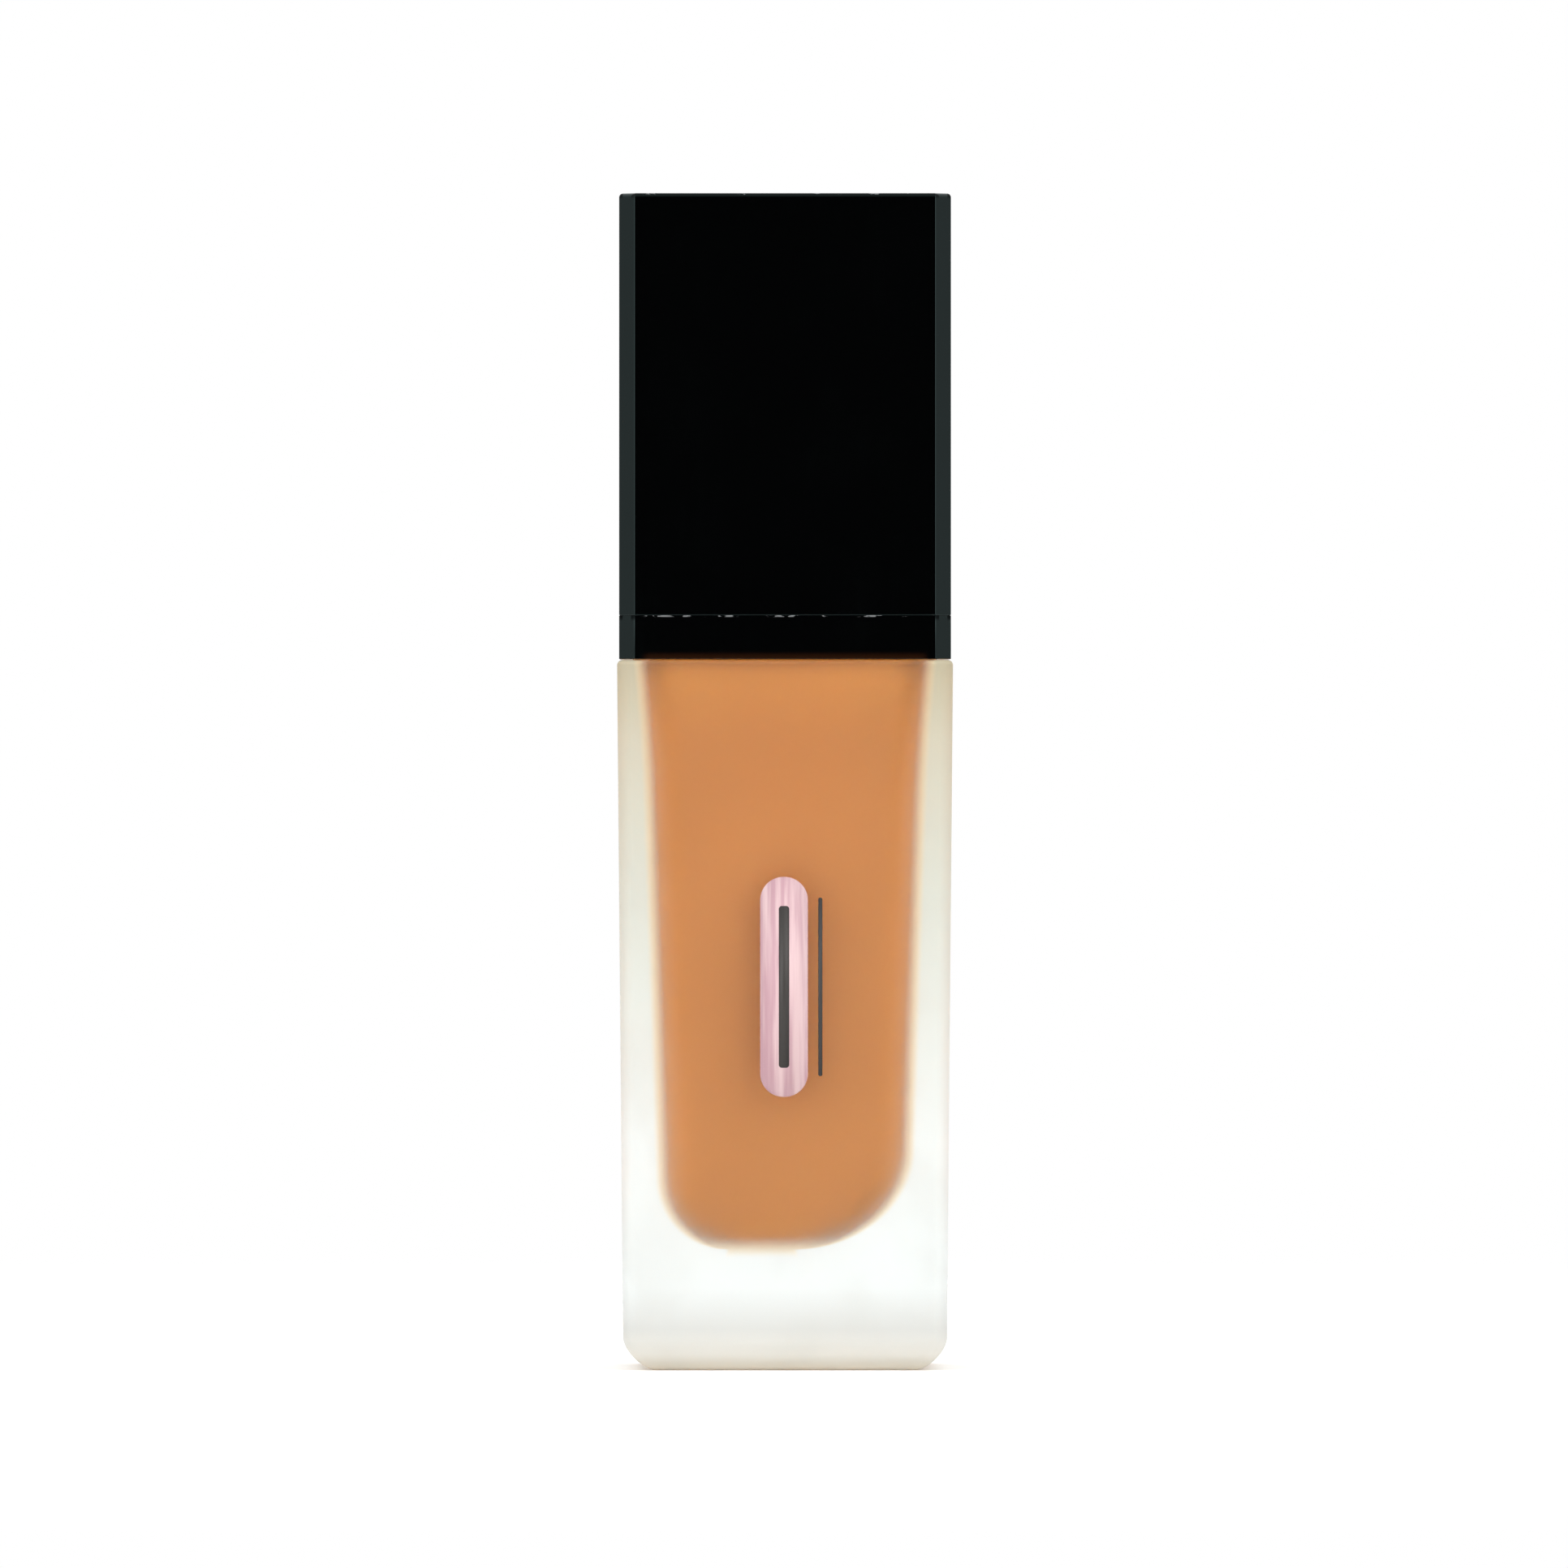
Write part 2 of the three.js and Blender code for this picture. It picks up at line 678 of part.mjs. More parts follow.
/** The pump's head, from its skirt's rim up, with a spout that faces the front. */
function actuatorHead() {
  const edge = 0.7;
  const socket = { foot: 2.4, radius: STEM_OUTER + 0.1, top: STEM_TOP - ACTUATOR_RIM + 0.2 };
  const body = turned(
    [
      [0, 0],
      [ACTUATOR_RADIUS - 0.2, 0],
      [ACTUATOR_RADIUS, 0.2],
      [ACTUATOR_RADIUS, ACTUATOR_HEIGHT - edge],
      [ACTUATOR_RADIUS - edge * 0.3, ACTUATOR_HEIGHT - edge * 0.3],
      [ACTUATOR_RADIUS - edge, ACTUATOR_HEIGHT],
      [0, ACTUATOR_HEIGHT],
    ],
    FINE,
    false,
  );
  const spout = solid(
    new THREE.CylinderGeometry(2.9, 1.9, SPOUT_REACH, SMALL)
      .translate(0, -SPOUT_REACH / 2, SPOUT_HEIGHT),
  );
  const channel = solid(
    new THREE.CylinderGeometry(0.9, 0.9, SPOUT_REACH + OVERSHOOT, 16).translate(
      0,
      -(SPOUT_REACH + OVERSHOOT) / 2,
      SPOUT_HEIGHT,
    ),
  );
  const dishRadius = 20;
  const dishDepth = 0.9;
  const dish = solid(
    new THREE.SphereGeometry(dishRadius, 32, 40).translate(0, 0, ACTUATOR_HEIGHT - dishDepth + dishRadius),
  );
  const skirtHollow = turned(
    [
      [3.8, -OVERSHOOT],
      [ACTUATOR_RADIUS - 1.1, -OVERSHOOT],
      [ACTUATOR_RADIUS - 1.1, 8.6],
      [3.8, 8.6],
    ],
    MEDIUM,
  );
  return body
    .add(spout)
    .subtract(dish)
    .subtract(skirtHollow)
    .subtract(rod(4.4, -OVERSHOOT, socket.foot))
    .subtract(rod(socket.radius, 0, socket.top, SMALL))
    .subtract(rod(0.9, 0, SPOUT_HEIGHT, 16))
    .subtract(channel);
}

// ---- Overcap, from its rim up -------------------------------------------------------------------

function capShell() {
  const bevel = 0.15;
  const steps = 4;
  const topRings = Array.from({ length: steps + 1 }, (_, i) => {
    const angle = ((i / steps) * Math.PI) / 2;
    const inset = CAP_TOP_ROUND * (1 - Math.cos(angle));
    const z = CAP_HEIGHT - CAP_TOP_ROUND * (1 - Math.sin(angle));
    return chamferedRing(SQUARE_HALF, EDGE_CHAMFER, inset, z);
  });
  const outside = loft([
    chamferedRing(SQUARE_HALF, EDGE_CHAMFER, bevel, 0),
    chamferedRing(SQUARE_HALF, EDGE_CHAMFER, 0, bevel),
    ...topRings,
  ]);
  const ceiling = CAP_HEIGHT - 1.8;
  const hollow = loft([
    chamferedRing(SQUARE_HALF, EDGE_CHAMFER, CAP_WALL, -OVERSHOOT),
    chamferedRing(SQUARE_HALF, EDGE_CHAMFER, CAP_WALL, ceiling),
  ]);
  return outside.subtract(hollow);
}

function capLiner() {
  const low = 0.8;
  const flangeTop = 1.6;
  const ceiling = 37.1;
  const top = 38.3;
  const cup = turned(
    [
      [LINER_INNER + 0.35, low],
      [LINER_OUTER, low],
      [LINER_OUTER, top - 0.6],
      [LINER_OUTER - 0.6, top],
      [0, top],
      [0, ceiling],
      [LINER_INNER, ceiling],
      [LINER_INNER, low + 0.6],
    ],
    FINE,
  );
  const flangeHalf = SQUARE_HALF - CAP_WALL - 0.15;
  const plate = loft([squareRing(flangeHalf, 1.6, low, 3), squareRing(flangeHalf, 1.6, flangeTop, 3)]);
  const flange = plate.subtract(rod(LINER_OUTER - 0.4, low - OVERSHOOT, flangeTop + OVERSHOOT, FINE));
  const ribFrom = LINER_OUTER - 0.4;
  const ribTo = 18.2;
  const ribTop = 34;
  let liner = cup.add(flange);
  for (let corner = 0; corner < 4; corner++) {
    const size = [ribTo - ribFrom, 1, ribTop - flangeTop + 0.4];
    const middle = [(ribFrom + ribTo) / 2, 0, flangeTop - 0.4 + size[2] / 2];
    liner = liner.add(block(middle, size).rotate([0, 0, 45 + corner * 90]));
  }
  return liner;
}

// ---- Assembly -----------------------------------------------------------------------------------

const bottle = new THREE.Group();
const collar = piece("shoulder_collar", shoulderCollar(), GLOSS_BLACK);
collar.position.z = COLLAR_BASE;
bottle.add(
  piece("glass_bottle", glassBottle(), FROSTED_GLASS),
  piece("foundation_fill", foundationFill(), FOUNDATION),
  piece("base_label", baseLabel(), LABEL_FILM),
  collar,
);

const pump = new THREE.Group();
pump.position.z = SEALING_FACE;
const ball = piece("inlet_ball", solid(new THREE.SphereGeometry(BALL_RADIUS, 16, 10)), CLEAR_GLASS);
ball.position.z = BALL_HEIGHT;
const head = piece("actuator_head", actuatorHead(), SATIN_BLACK);
head.position.z = ACTUATOR_RIM;
pump.add(
  piece("screw_closure", screwClosure(), SATIN_BLACK),
  piece("neck_gasket", neckGasket(), SEAL_FOAM),
  piece("pump_housing", pumpHousing(), NATURAL_PLASTIC),
  piece("dip_tube", dipTube(), NATURAL_PLASTIC),
  piece("ball_cage", ballCage(), NATURAL_PLASTIC),
  ball,
  piece("return_spring", returnSpring(), STEEL),
  piece("piston_rod", pistonRod(), NATURAL_PLASTIC),
  piece("piston", piston(), NATURAL_PLASTIC),
  piece("stem", stem(), NATURAL_PLASTIC),
  piece("stem_seal", stemSeal(), SEAL_RUBBER),
  piece("stem_guide", stemGuide(), SATIN_BLACK),
  head,
);

const cap = new THREE.Group();
cap.position.z = CAP_BASE;
cap.add(piece("cap_shell", capShell(), GLOSS_BLACK), piece("cap_liner", capLiner(), SATIN_BLACK));

const foundationBottle = new THREE.Group();
foundationBottle.add(bottle, pump, cap);

export default foundationBottle;
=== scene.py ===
"""The looks of a square foundation bottle: frosted glass, liquid, a pump, a collar and an overcap.

Every piece is built in millimetres in the row frame and scaled to metres when its mesh is made: +Z is
up, the origin is the middle of the underside, and the front faces -Y.
"""

import math

import bmesh
import bpy
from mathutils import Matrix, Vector


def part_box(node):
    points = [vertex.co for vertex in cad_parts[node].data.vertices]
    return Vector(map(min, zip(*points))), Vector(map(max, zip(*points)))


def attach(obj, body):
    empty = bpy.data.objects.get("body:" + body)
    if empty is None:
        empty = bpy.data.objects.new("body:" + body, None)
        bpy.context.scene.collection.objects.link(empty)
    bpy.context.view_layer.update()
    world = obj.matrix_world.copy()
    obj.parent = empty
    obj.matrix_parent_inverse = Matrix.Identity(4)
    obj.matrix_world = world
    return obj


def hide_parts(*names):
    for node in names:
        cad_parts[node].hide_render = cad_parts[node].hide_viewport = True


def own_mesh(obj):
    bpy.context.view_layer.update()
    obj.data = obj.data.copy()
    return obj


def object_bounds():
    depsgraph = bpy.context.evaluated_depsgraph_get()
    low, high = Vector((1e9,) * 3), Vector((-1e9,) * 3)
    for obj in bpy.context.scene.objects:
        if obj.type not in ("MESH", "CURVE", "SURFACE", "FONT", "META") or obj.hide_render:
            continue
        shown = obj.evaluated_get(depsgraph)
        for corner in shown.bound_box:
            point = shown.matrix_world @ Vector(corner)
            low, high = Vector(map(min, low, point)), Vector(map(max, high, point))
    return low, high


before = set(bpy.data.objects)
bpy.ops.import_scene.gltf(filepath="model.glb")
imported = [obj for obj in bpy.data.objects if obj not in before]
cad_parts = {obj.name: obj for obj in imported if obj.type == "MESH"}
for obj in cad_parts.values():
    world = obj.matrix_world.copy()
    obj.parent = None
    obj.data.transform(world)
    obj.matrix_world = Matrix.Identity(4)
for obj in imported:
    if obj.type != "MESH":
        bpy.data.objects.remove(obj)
cad_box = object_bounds()

MM = 0.001
ARC = 16  # steps round a corner
AROUND = 4 * (ARC + 1)  # points in a ring
TURN = 2 * math.pi


def node_box(node):
    """The lowest and highest corner of a CAD node, in millimetres."""
    low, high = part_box(node)
    return low / MM, high / MM


# ---- Driving dimensions, in millimetres ----------------------------------------------------------

COLLAR_BASE = node_box("shoulder_collar")[0].z
COLLAR_TOP = node_box("shoulder_collar")[1].z
CAP_BASE = node_box("cap_shell")[0].z
CAP_TOP = node_box("cap_shell")[1].z
SQUARE_HALF = node_box("cap_shell")[1].x
SEALING_FACE = node_box("glass_bottle")[1].z
ACTUATOR_RIM = node_box("actuator_head")[0].z
LABEL_LOW, LABEL_HIGH = node_box("base_label")

# Glass
SHOULDER = 68.5
GLASS_FOOT_HALF = 15.6
GLASS_TOP_HALF = 16.2
GLASS_CORNER = 1.4
FOOT_ROUND = {"left": 3.1, "right": 3.0, "depth": 2.9}  # the last is for the front and the back
FOOT_FULLNESS = 1.55
FOOT_CORNER = (1.2, 2.7)  # the loss of corner radius at the foot, and the height where it begins
SHOULDER_ROUND = 0.5
LAND_HALF = 14.5
LAND_TOP = SHOULDER + 1.4
RECESS_RADIUS = 10.5
RECESS_DEPTH = 0.8
NECK_RADIUS = 8.7
NECK_BORE = 6.0
THREAD_PITCH = 3.18
BOTTLE_THREAD = {"radius": NECK_RADIUS, "rise": 1.05, "start": SHOULDER + 5, "turns": 1.25}

# Cavity
CAVITY_FLOOR = 11.7
CAVITY_TOP = 68.7
CAVITY_HALF = 11.0
CAVITY_TAPER = 1 / 30
CAVITY_FLARE = {"from": 54, "height": 13, "gain": 0.85}
CAVITY_TOP_ROUND = 0.6
FLARE_SEEN = 0.4  # the part of the flare that the frosted wall lets through
CAVITY_CORNER = 4.0
CAVITY_FOOT = {"left": (6.5, 6.5), "right": (11.0, 9.5), "depth": (3.0, 3.0)}  # inwards, upwards

# Tones of the milky glass, set against the photo: height and colour. They are painted light and shade,
# darkest and warmest at the top under the collar.
MILK_PAINTED_SHADING = [
    (0.0, (0.95, 0.89, 0.75)),
    (0.7, (0.74, 0.71, 0.62)),
    (1.5, (0.80, 0.79, 0.73)),
    (4.0, (0.68, 0.70, 0.68)),
    (8.0, (0.81, 0.86, 0.86)),
    (22.0, (0.79, 0.86, 0.86)),
    (46.0, (0.65, 0.715, 0.65)),
    (61.0, (0.61, 0.62, 0.50)),
    (68.5, (0.50, 0.495, 0.35)),
]

# Collar, closure and cap
EDGE_CHAMFER = 1.5
COLLAR_PLATE = COLLAR_BASE + 4.2
COLLAR_WALL = 1.3
STEP_INSET = 1.9
STEP_TOP = COLLAR_PLATE + 0.6
UPSTAND_OUTER = 12.7
UPSTAND_INNER = 11.6
CLOSURE_OUTER = 11.35
CLOSURE_INNER = 10.1
CLOSURE_HOLE = 7.0
CLOSURE_THREAD = {"radius": CLOSURE_INNER, "rise": -1.1, "start": SEALING_FACE - 6.9, "turns": 1.1}
CAP_WALL = 1.6
CAP_ROOF = 1.8
CAP_RIM = COLLAR_PLATE + 0.03  # a hairline above the collar
CAP_TOP_ROUND = 0.4
LINER_OUTER = 14.1
LINER_INNER = 13.05

# Pump
STEM_OUTER = 2.2
TUBE_OUTER = 1.75
TUBE_INNER = 1.2
SPRING = {"foot": -18.35, "top": -7.7, "radius": 2.4, "wire": 0.34, "turns": 6.5}
ACTUATOR_RADIUS = 6.5
ACTUATOR_HEIGHT = 16.0
SPOUT_HEIGHT = 12.2
SPOUT_REACH = 10.8


# ---- Rings ---------------------------------------------------------------------------------------

def rotated(x, y, angle):
    """A point turned about the Z axis."""
    cos, sin = math.cos(angle), math.sin(angle)
    return x * cos - y * sin, x * sin + y * cos


def rounded_ring(left, right, front, back, radius, z):
    """A level ring of points: a rectangle with rounded corners."""
    centres = [
        (right - radius, back - radius),
        (left + radius, back - radius),
        (left + radius, front + radius),
        (right - radius, front + radius),
    ]
    points = []
    for corner, (x, y) in enumerate(centres):
        for step in range(ARC + 1):
            angle = (corner + (step + 0.5) / (ARC + 1)) * TURN / 4
            points.append((x + radius * math.cos(angle), y + radius * math.sin(angle), z))
    return points


def square_ring(half, radius, z):
    return rounded_ring(-half, half, -half, half, radius, z)


def circle(radius, z, count=AROUND):
    """A level ring whose points line up with those of a rounded ring."""
    angles = [(i + 0.5) / count * TURN for i in range(count)]
    return [(radius * math.cos(angle), radius * math.sin(angle), z) for angle in angles]


def chamfered_ring(z, inset=0.0):
    """A level ring: the square of the collar and the cap, its corners cut, moved inwards by inset."""
    side = SQUARE_HALF - inset
    cut = EDGE_CHAMFER - (2 - math.sqrt(2)) * inset
    points = []
    for corner in range(4):
        for step in range(ARC + 1):
            x = side - cut * step / ARC
            y = side - cut + cut * step / ARC
            points.append((*rotated(x, y, corner * TURN / 4), z))
    return points


def threaded_circle(z, thread, count=AROUND):
    """A circle at a height, moved out or in where a thread's ridge passes."""
    tip_half, slope = 0.32, 0.3
    ring = []
    for x, y, _ in circle(1, z, count):
        share = 0.0
        for lap in (0, 1):
            along = math.atan2(y, x) / TURN % 1 + lap
            if along > thread["turns"]:
                continue
            away = abs(z - thread["start"] - along * THREAD_PITCH)
            fade = min(1.0, along / 0.12, (thread["turns"] - along) / 0.12)
            share = max(share, fade * min(1.0, max(0.0, 1 - (away - tip_half) / slope)))
        radius = thread["radius"] + thread["rise"] * share
        ring.append((x * radius, y * radius, z))
    return ring


def threaded_wall(low, high, thread, count=AROUND):
    """Rings from one height up to another, close enough together to show the thread."""
    levels = round((high - low) / 0.16)
    return [threaded_circle(low + (high - low) * i / levels, thread, count) for i in range(levels + 1)]


def quarter(steps):
    """Shares (out, up) along a quarter round: from (1, 0) to (0, 1)."""
    return [(math.cos(i / steps * TURN / 4), math.sin(i / steps * TURN / 4)) for i in range(steps + 1)]


# ---- Meshes --------------------------------------------------------------------------------------

def new_object(name, points, faces, material):
    """A smooth-shaded object of one closed mesh, with its faces pointing out."""
    mesh = bpy.data.meshes.new(name)
    mesh.from_pydata([Vector(p) * MM for p in points], [], faces)
    work = bmesh.new()
    work.from_mesh(mesh)
    bmesh.ops.recalc_face_normals(work, faces=work.faces)
    work.to_mesh(mesh)
    work.free()
    mesh.materials.append(material)
    mesh.polygons.foreach_set("use_smooth", [True] * len(mesh.polygons))
    piece = bpy.data.objects.new(name, mesh)
    bpy.context.scene.collection.objects.link(piece)
    return piece


def loft(name, rings, material, closes=False):
    """A solid through rings of equal counts. It closes on its first ring, or its ends are capped."""
    count = len(rings[0])
    points = [p for ring in rings for p in ring]
    faces = []
    joins = len(rings) if closes else len(rings) - 1
    for level in range(joins):
        here = level * count
        there = (level + 1) % len(rings) * count
        for i in range(count):
            j = (i + 1) % count
            faces.append((here + i, here + j, there + j, there + i))
    if not closes:
        last = (len(rings) - 1) * count
        faces.append(tuple(range(count - 1, -1, -1)))
        faces.append(tuple(range(last, last + count)))
    return new_object(name, points, faces, material)


def turned(name, profile, material, base=SEALING_FACE, closes=True):
    """A solid turned about the Z axis from [radius, height above base] points."""
    return loft(name, [circle(radius, base + height) for radius, height in profile], material, closes)


def block(low, high, turn=0.0):
    """A plain box between two corners, turned about the Z axis: a tool for joining and cutting."""
    corners = [(low[0], low[1]), (high[0], low[1]), (high[0], high[1]), (low[0], high[1])]
    rings = [[(*rotated(x, y, turn), z) for x, y in corners] for z in (low[2], high[2])]
    return loft("block", rings, None)


def baked(piece):
    """The piece with its modifiers applied."""
    bpy.context.view_layer.update()
    graph = bpy.context.evaluated_depsgraph_get()
    mesh = bpy.data.meshes.new_from_object(piece.evaluated_get(graph))
    piece.modifiers.clear()
    piece.data = mesh
    return piece


def combine(piece, tool, operation):
    """Joins a closed tool to the piece with UNION, or cuts it away with DIFFERENCE. The tool goes."""
    change = piece.modifiers.new("combine", "BOOLEAN")
    change.operation = operation
    change.solver = "EXACT"
    change.object = tool
    baked(piece)
    bpy.data.objects.remove(tool)


def bevelled(piece, width, segments=3, angle=30):
    """Small rounds on the edges sharper than an angle. Flat faces stay flat under smooth shading."""
    bevel = piece.modifiers.new("edges", "BEVEL")
    bevel.width = width * MM
    bevel.segments = segments
    bevel.limit_method = "ANGLE"
    bevel.angle_limit = math.radians(angle)
    bevel.use_clamp_overlap = True
    return weighted(piece)


def weighted(piece):
    """Smooth shading that leans towards the larger faces."""
    normals = piece.modifiers.new("normals", "WEIGHTED_NORMAL")
    normals.keep_sharp = True
    normals.weight = 90
    return piece


def place(piece, body, node):
    """The piece rides on a body and stands for a CAD node, which is hidden."""
    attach(piece, body)
    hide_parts(node)


# ---- Material nodes ------------------------------------------------------------------------------

def math_node(tree, operation, *values):
    """The result of a Math node. Each value is a number or a socket."""
    made = tree.nodes.new("ShaderNodeMath")
    made.operation = operation
    for socket, value in zip(made.inputs, values):
        if isinstance(value, (int, float)):
            socket.default_value = value
        else:
            tree.links.new(value, socket)
    return made.outputs["Value"]


def span_node(tree, source, low, high, to_low, to_high):
    """Maps low..high smoothly to to_low..to_high."""
    made = tree.nodes.new("ShaderNodeMapRange")
    made.interpolation_type = "SMOOTHSTEP"
    made.inputs["From Min"].default_value = low
    made.inputs["From Max"].default_value = high
    made.inputs["To Min"].default_value = to_low
    made.inputs["To Max"].default_value = to_high
    tree.links.new(source, made.inputs["Value"])
    return made.outputs["Result"]


class Surface:
    """A material under construction: a Principled shader and short calls for the nodes that feed it."""

    def __init__(self, name, **sockets):
        self.material = bpy.data.materials.new(name)
        self.material.use_nodes = True
        self.tree = self.material.node_tree
        self.shader = self.tree.nodes["Principled BSDF"]
        for socket, value in sockets.items():
            self.shader.inputs[socket.replace("_", " ")].default_value = value

    def node(self, kind, **settings):
        made = self.tree.nodes.new(kind)
        for key, value in settings.items():
            setattr(made, key, value)
        return made

    def link(self, source, target):
        self.tree.links.new(source, target)

    def place(self):
        """The point on the object, in metres in the row frame."""
        return self.node("ShaderNodeTexCoord").outputs["Object"]

    def axes(self):
        """The three parts of that point."""
        split = self.node("ShaderNodeSeparateXYZ")
        self.link(self.place(), split.inputs["Vector"])
        return split.outputs["X"], split.outputs["Y"], split.outputs["Z"]

    def noise(self, scale, detail=4.0, roughness=0.5, stretch=None):
        """A noise whose scale is in features per millimetre."""
        texture = self.node("ShaderNodeTexNoise")
        texture.inputs["Scale"].default_value = scale / MM
        texture.inputs["Detail"].default_value = detail
        texture.inputs["Roughness"].default_value = roughness
        source = self.place()
        if stretch:
            mapping = self.node("ShaderNodeMapping")
            mapping.inputs["Scale"].default_value = stretch
            self.link(source, mapping.inputs["Vector"])
            source = mapping.outputs["Vector"]
        self.link(source, texture.inputs["Vector"])
        return texture.outputs["Fac"]

    def math(self, operation, *values):
        return math_node(self.tree, operation, *values)

    def span(self, source, low, high, to_low, to_high):
        return span_node(self.tree, source, low, high, to_low, to_high)

    def ease(self, source, zero, one):
        """How far a value has gone from one point to another and past it, and never less than 0."""
        share = self.math("DIVIDE", self.math("SUBTRACT", source, zero), one - zero)
        return self.math("MAXIMUM", share, 0)

    def mix(self, share, first, second):
        """A colour between two: each is a tuple or a socket."""
        made = self.node("ShaderNodeMix", data_type="RGBA")
        self.link(share, made.inputs["Factor"])
        for socket, value in ((made.inputs["A"], first), (made.inputs["B"], second)):
            if isinstance(value, tuple):
                socket.default_value = (*value, 1.0)
            else:
                self.link(value, socket)
        return made.outputs["Result"]

    def lesser(self, x, y):
        """How far a point on the outside of a square is from the middle of its own side."""
        return self.math("MINIMUM", self.math("ABSOLUTE", x), self.math("ABSOLUTE", y))

    def ramp(self, source, stops):
        """A colour by height: stops are (height in millimetres, colour), from the lowest up."""
        top = stops[-1][0]
        made = self.node("ShaderNodeValToRGB")
        elements = made.color_ramp.elements
        while len(elements) < len(stops):
            elements.new(0.5)
        for element, (height, colour) in zip(elements, stops):
            element.position = height / top
            element.color = (*colour, 1.0)
        self.link(self.math("DIVIDE", source, top * MM), made.inputs["Fac"])
        return made.outputs["Color"]

    def bump(self, height, distance, strength=1.0):
        """A bump from a 0..1 height, with its depth in millimetres."""
        made = self.node("ShaderNodeBump")
        made.inputs["Distance"].default_value = distance * MM
        made.inputs["Strength"].default_value = strength
        self.link(height, made.inputs["Height"])
        self.link(made.outputs["Normal"], self.shader.inputs["Normal"])

    def feed(self, socket, source):
        self.link(source, self.shader.inputs[socket])

    def two_tones(self, noise, dark, light, low=0.3, high=0.7):
        """A base colour that follows a noise between two colours."""
        self.feed("Base Color", self.mix(self.span(noise, low, high, 0, 1), dark, light))


# ---- Materials -----------------------------------------------------------------------------------

def beyond_liquid(look):
    """How far a point on a side of the bottle is outside the outline of the liquid, seen square on."""
    x, y, z = look.axes()

    def inset(reach):
        inwards, upwards = reach
        below = look.ease(z, (CAVITY_FLOOR + upwards) * MM, CAVITY_FLOOR * MM)
        left_over = look.math("SUBTRACT", 1, look.math("POWER", below, 2))
        level = look.math("SQRT", look.math("MAXIMUM", left_over, 0))
        return look.math("MULTIPLY", look.math("SUBTRACT", 1, level), inwards * MM)

    wall = look.math("MULTIPLY_ADD", z, CAVITY_TAPER, CAVITY_HALF * MM)
    flare_from, flare_height = CAVITY_FLARE["from"], CAVITY_FLARE["height"]
    flared = look.math("POWER", look.ease(z, flare_from * MM, (flare_from + flare_height) * MM), 2)
    wall = look.math("ADD", wall, look.math("MULTIPLY", flared, FLARE_SEEN * MM))
    on_right = look.math("GREATER_THAN", x, 0)
    left, right = inset(CAVITY_FOOT["left"]), inset(CAVITY_FOOT["right"])
    foot = look.math("ADD", left, look.math("MULTIPLY", on_right, look.math("SUBTRACT", right, left)))
    return look.math("SUBTRACT", look.lesser(x, y), look.math("SUBTRACT", wall, foot))


def frosted_glass():
    """Acid-frosted glass. It is milky in the corners and the base, where no liquid stands behind it, and a
    golden band of painted light lies where that begins: the liquid's colour seen through the frost."""
    look = Surface("frosted_glass", IOR=1.5)
    _, _, z = look.axes()
    grain = look.noise(9.0, detail=3.0)
    patches = look.noise(0.12, detail=2.0)
    beside = look.span(beyond_liquid(look), -0.65 * MM, 1.0 * MM, 0, 1)
    under = look.span(z, (CAVITY_FLOOR + 1.3) * MM, (CAVITY_FLOOR - 0.9) * MM, 0, 1)
    milky = look.math("MAXIMUM", beside, under)
    cloudy = look.span(patches, 0.45, 0.7, 0, 0.15)
    # Painted light and shade: the milk's tones change with height.
    painted_milk_shading = look.mix(cloudy, look.ramp(z, MILK_PAINTED_SHADING), (0.56, 0.57, 0.53))
    body = look.mix(look.math("POWER", milky, 0.6), (0.97, 0.98, 0.94), painted_milk_shading)
    # Painted light: a golden band where the milk begins, for the liquid's colour seen through the frost.
    painted_liquid_tint = look.math("MULTIPLY", milky, look.math("SUBTRACT", 2, look.math("MULTIPLY", milky, 2)))
    look.feed("Base Color", look.mix(painted_liquid_tint, body, (0.92, 0.75, 0.40)))
    look.feed("Transmission Weight", look.math("SUBTRACT", 1, look.math("MULTIPLY", milky, 0.6)))
    haze = look.span(patches, 0.3, 0.7, 0.56, 0.64)
    look.feed("Roughness", look.math("ADD", haze, look.span(grain, 0.3, 0.7, 0, 0.05)))
    look.bump(grain, 0.008, 0.5)
    return look.material


def liquid_foundation():
    """The liquid. Its colour is painted lighter towards its edges, top and floor: painted light against
    the shade that the frosted glass gives it there.
    """
    look = Surface("liquid_foundation", Roughness=0.45, Subsurface_Weight=0.15, Subsurface_Scale=0.001)
    look.shader.inputs["Subsurface Radius"].default_value = (1.0, 0.5, 0.25)
    swirl = look.noise(0.09, detail=3.0, stretch=(1.0, 1.0, 0.45))
    tone = look.span(swirl, 0.3, 0.7, 0, 1)
    body = look.mix(tone, (0.570, 0.206, 0.021), (0.595, 0.218, 0.025))
    _, _, z = look.axes()
    # Painted light: lighter colours towards the edges, the top and the floor.
    edge = look.span(beyond_liquid(look), -4.0 * MM, 0.3 * MM, 0, 1)
    top = look.span(z, 60 * MM, 68 * MM, 0, 1)
    floor = look.span(z, 15 * MM, 12 * MM, 0, 1)
    body = look.mix(edge, body, (0.86, 0.31, 0.02))
    body = look.mix(top, body, (0.66, 0.25, 0.026))
    look.feed("Base Color", look.mix(floor, body, (0.95, 0.36, 0.04)))
    look.bump(swirl, 0.05, 0.4)
    return look.material


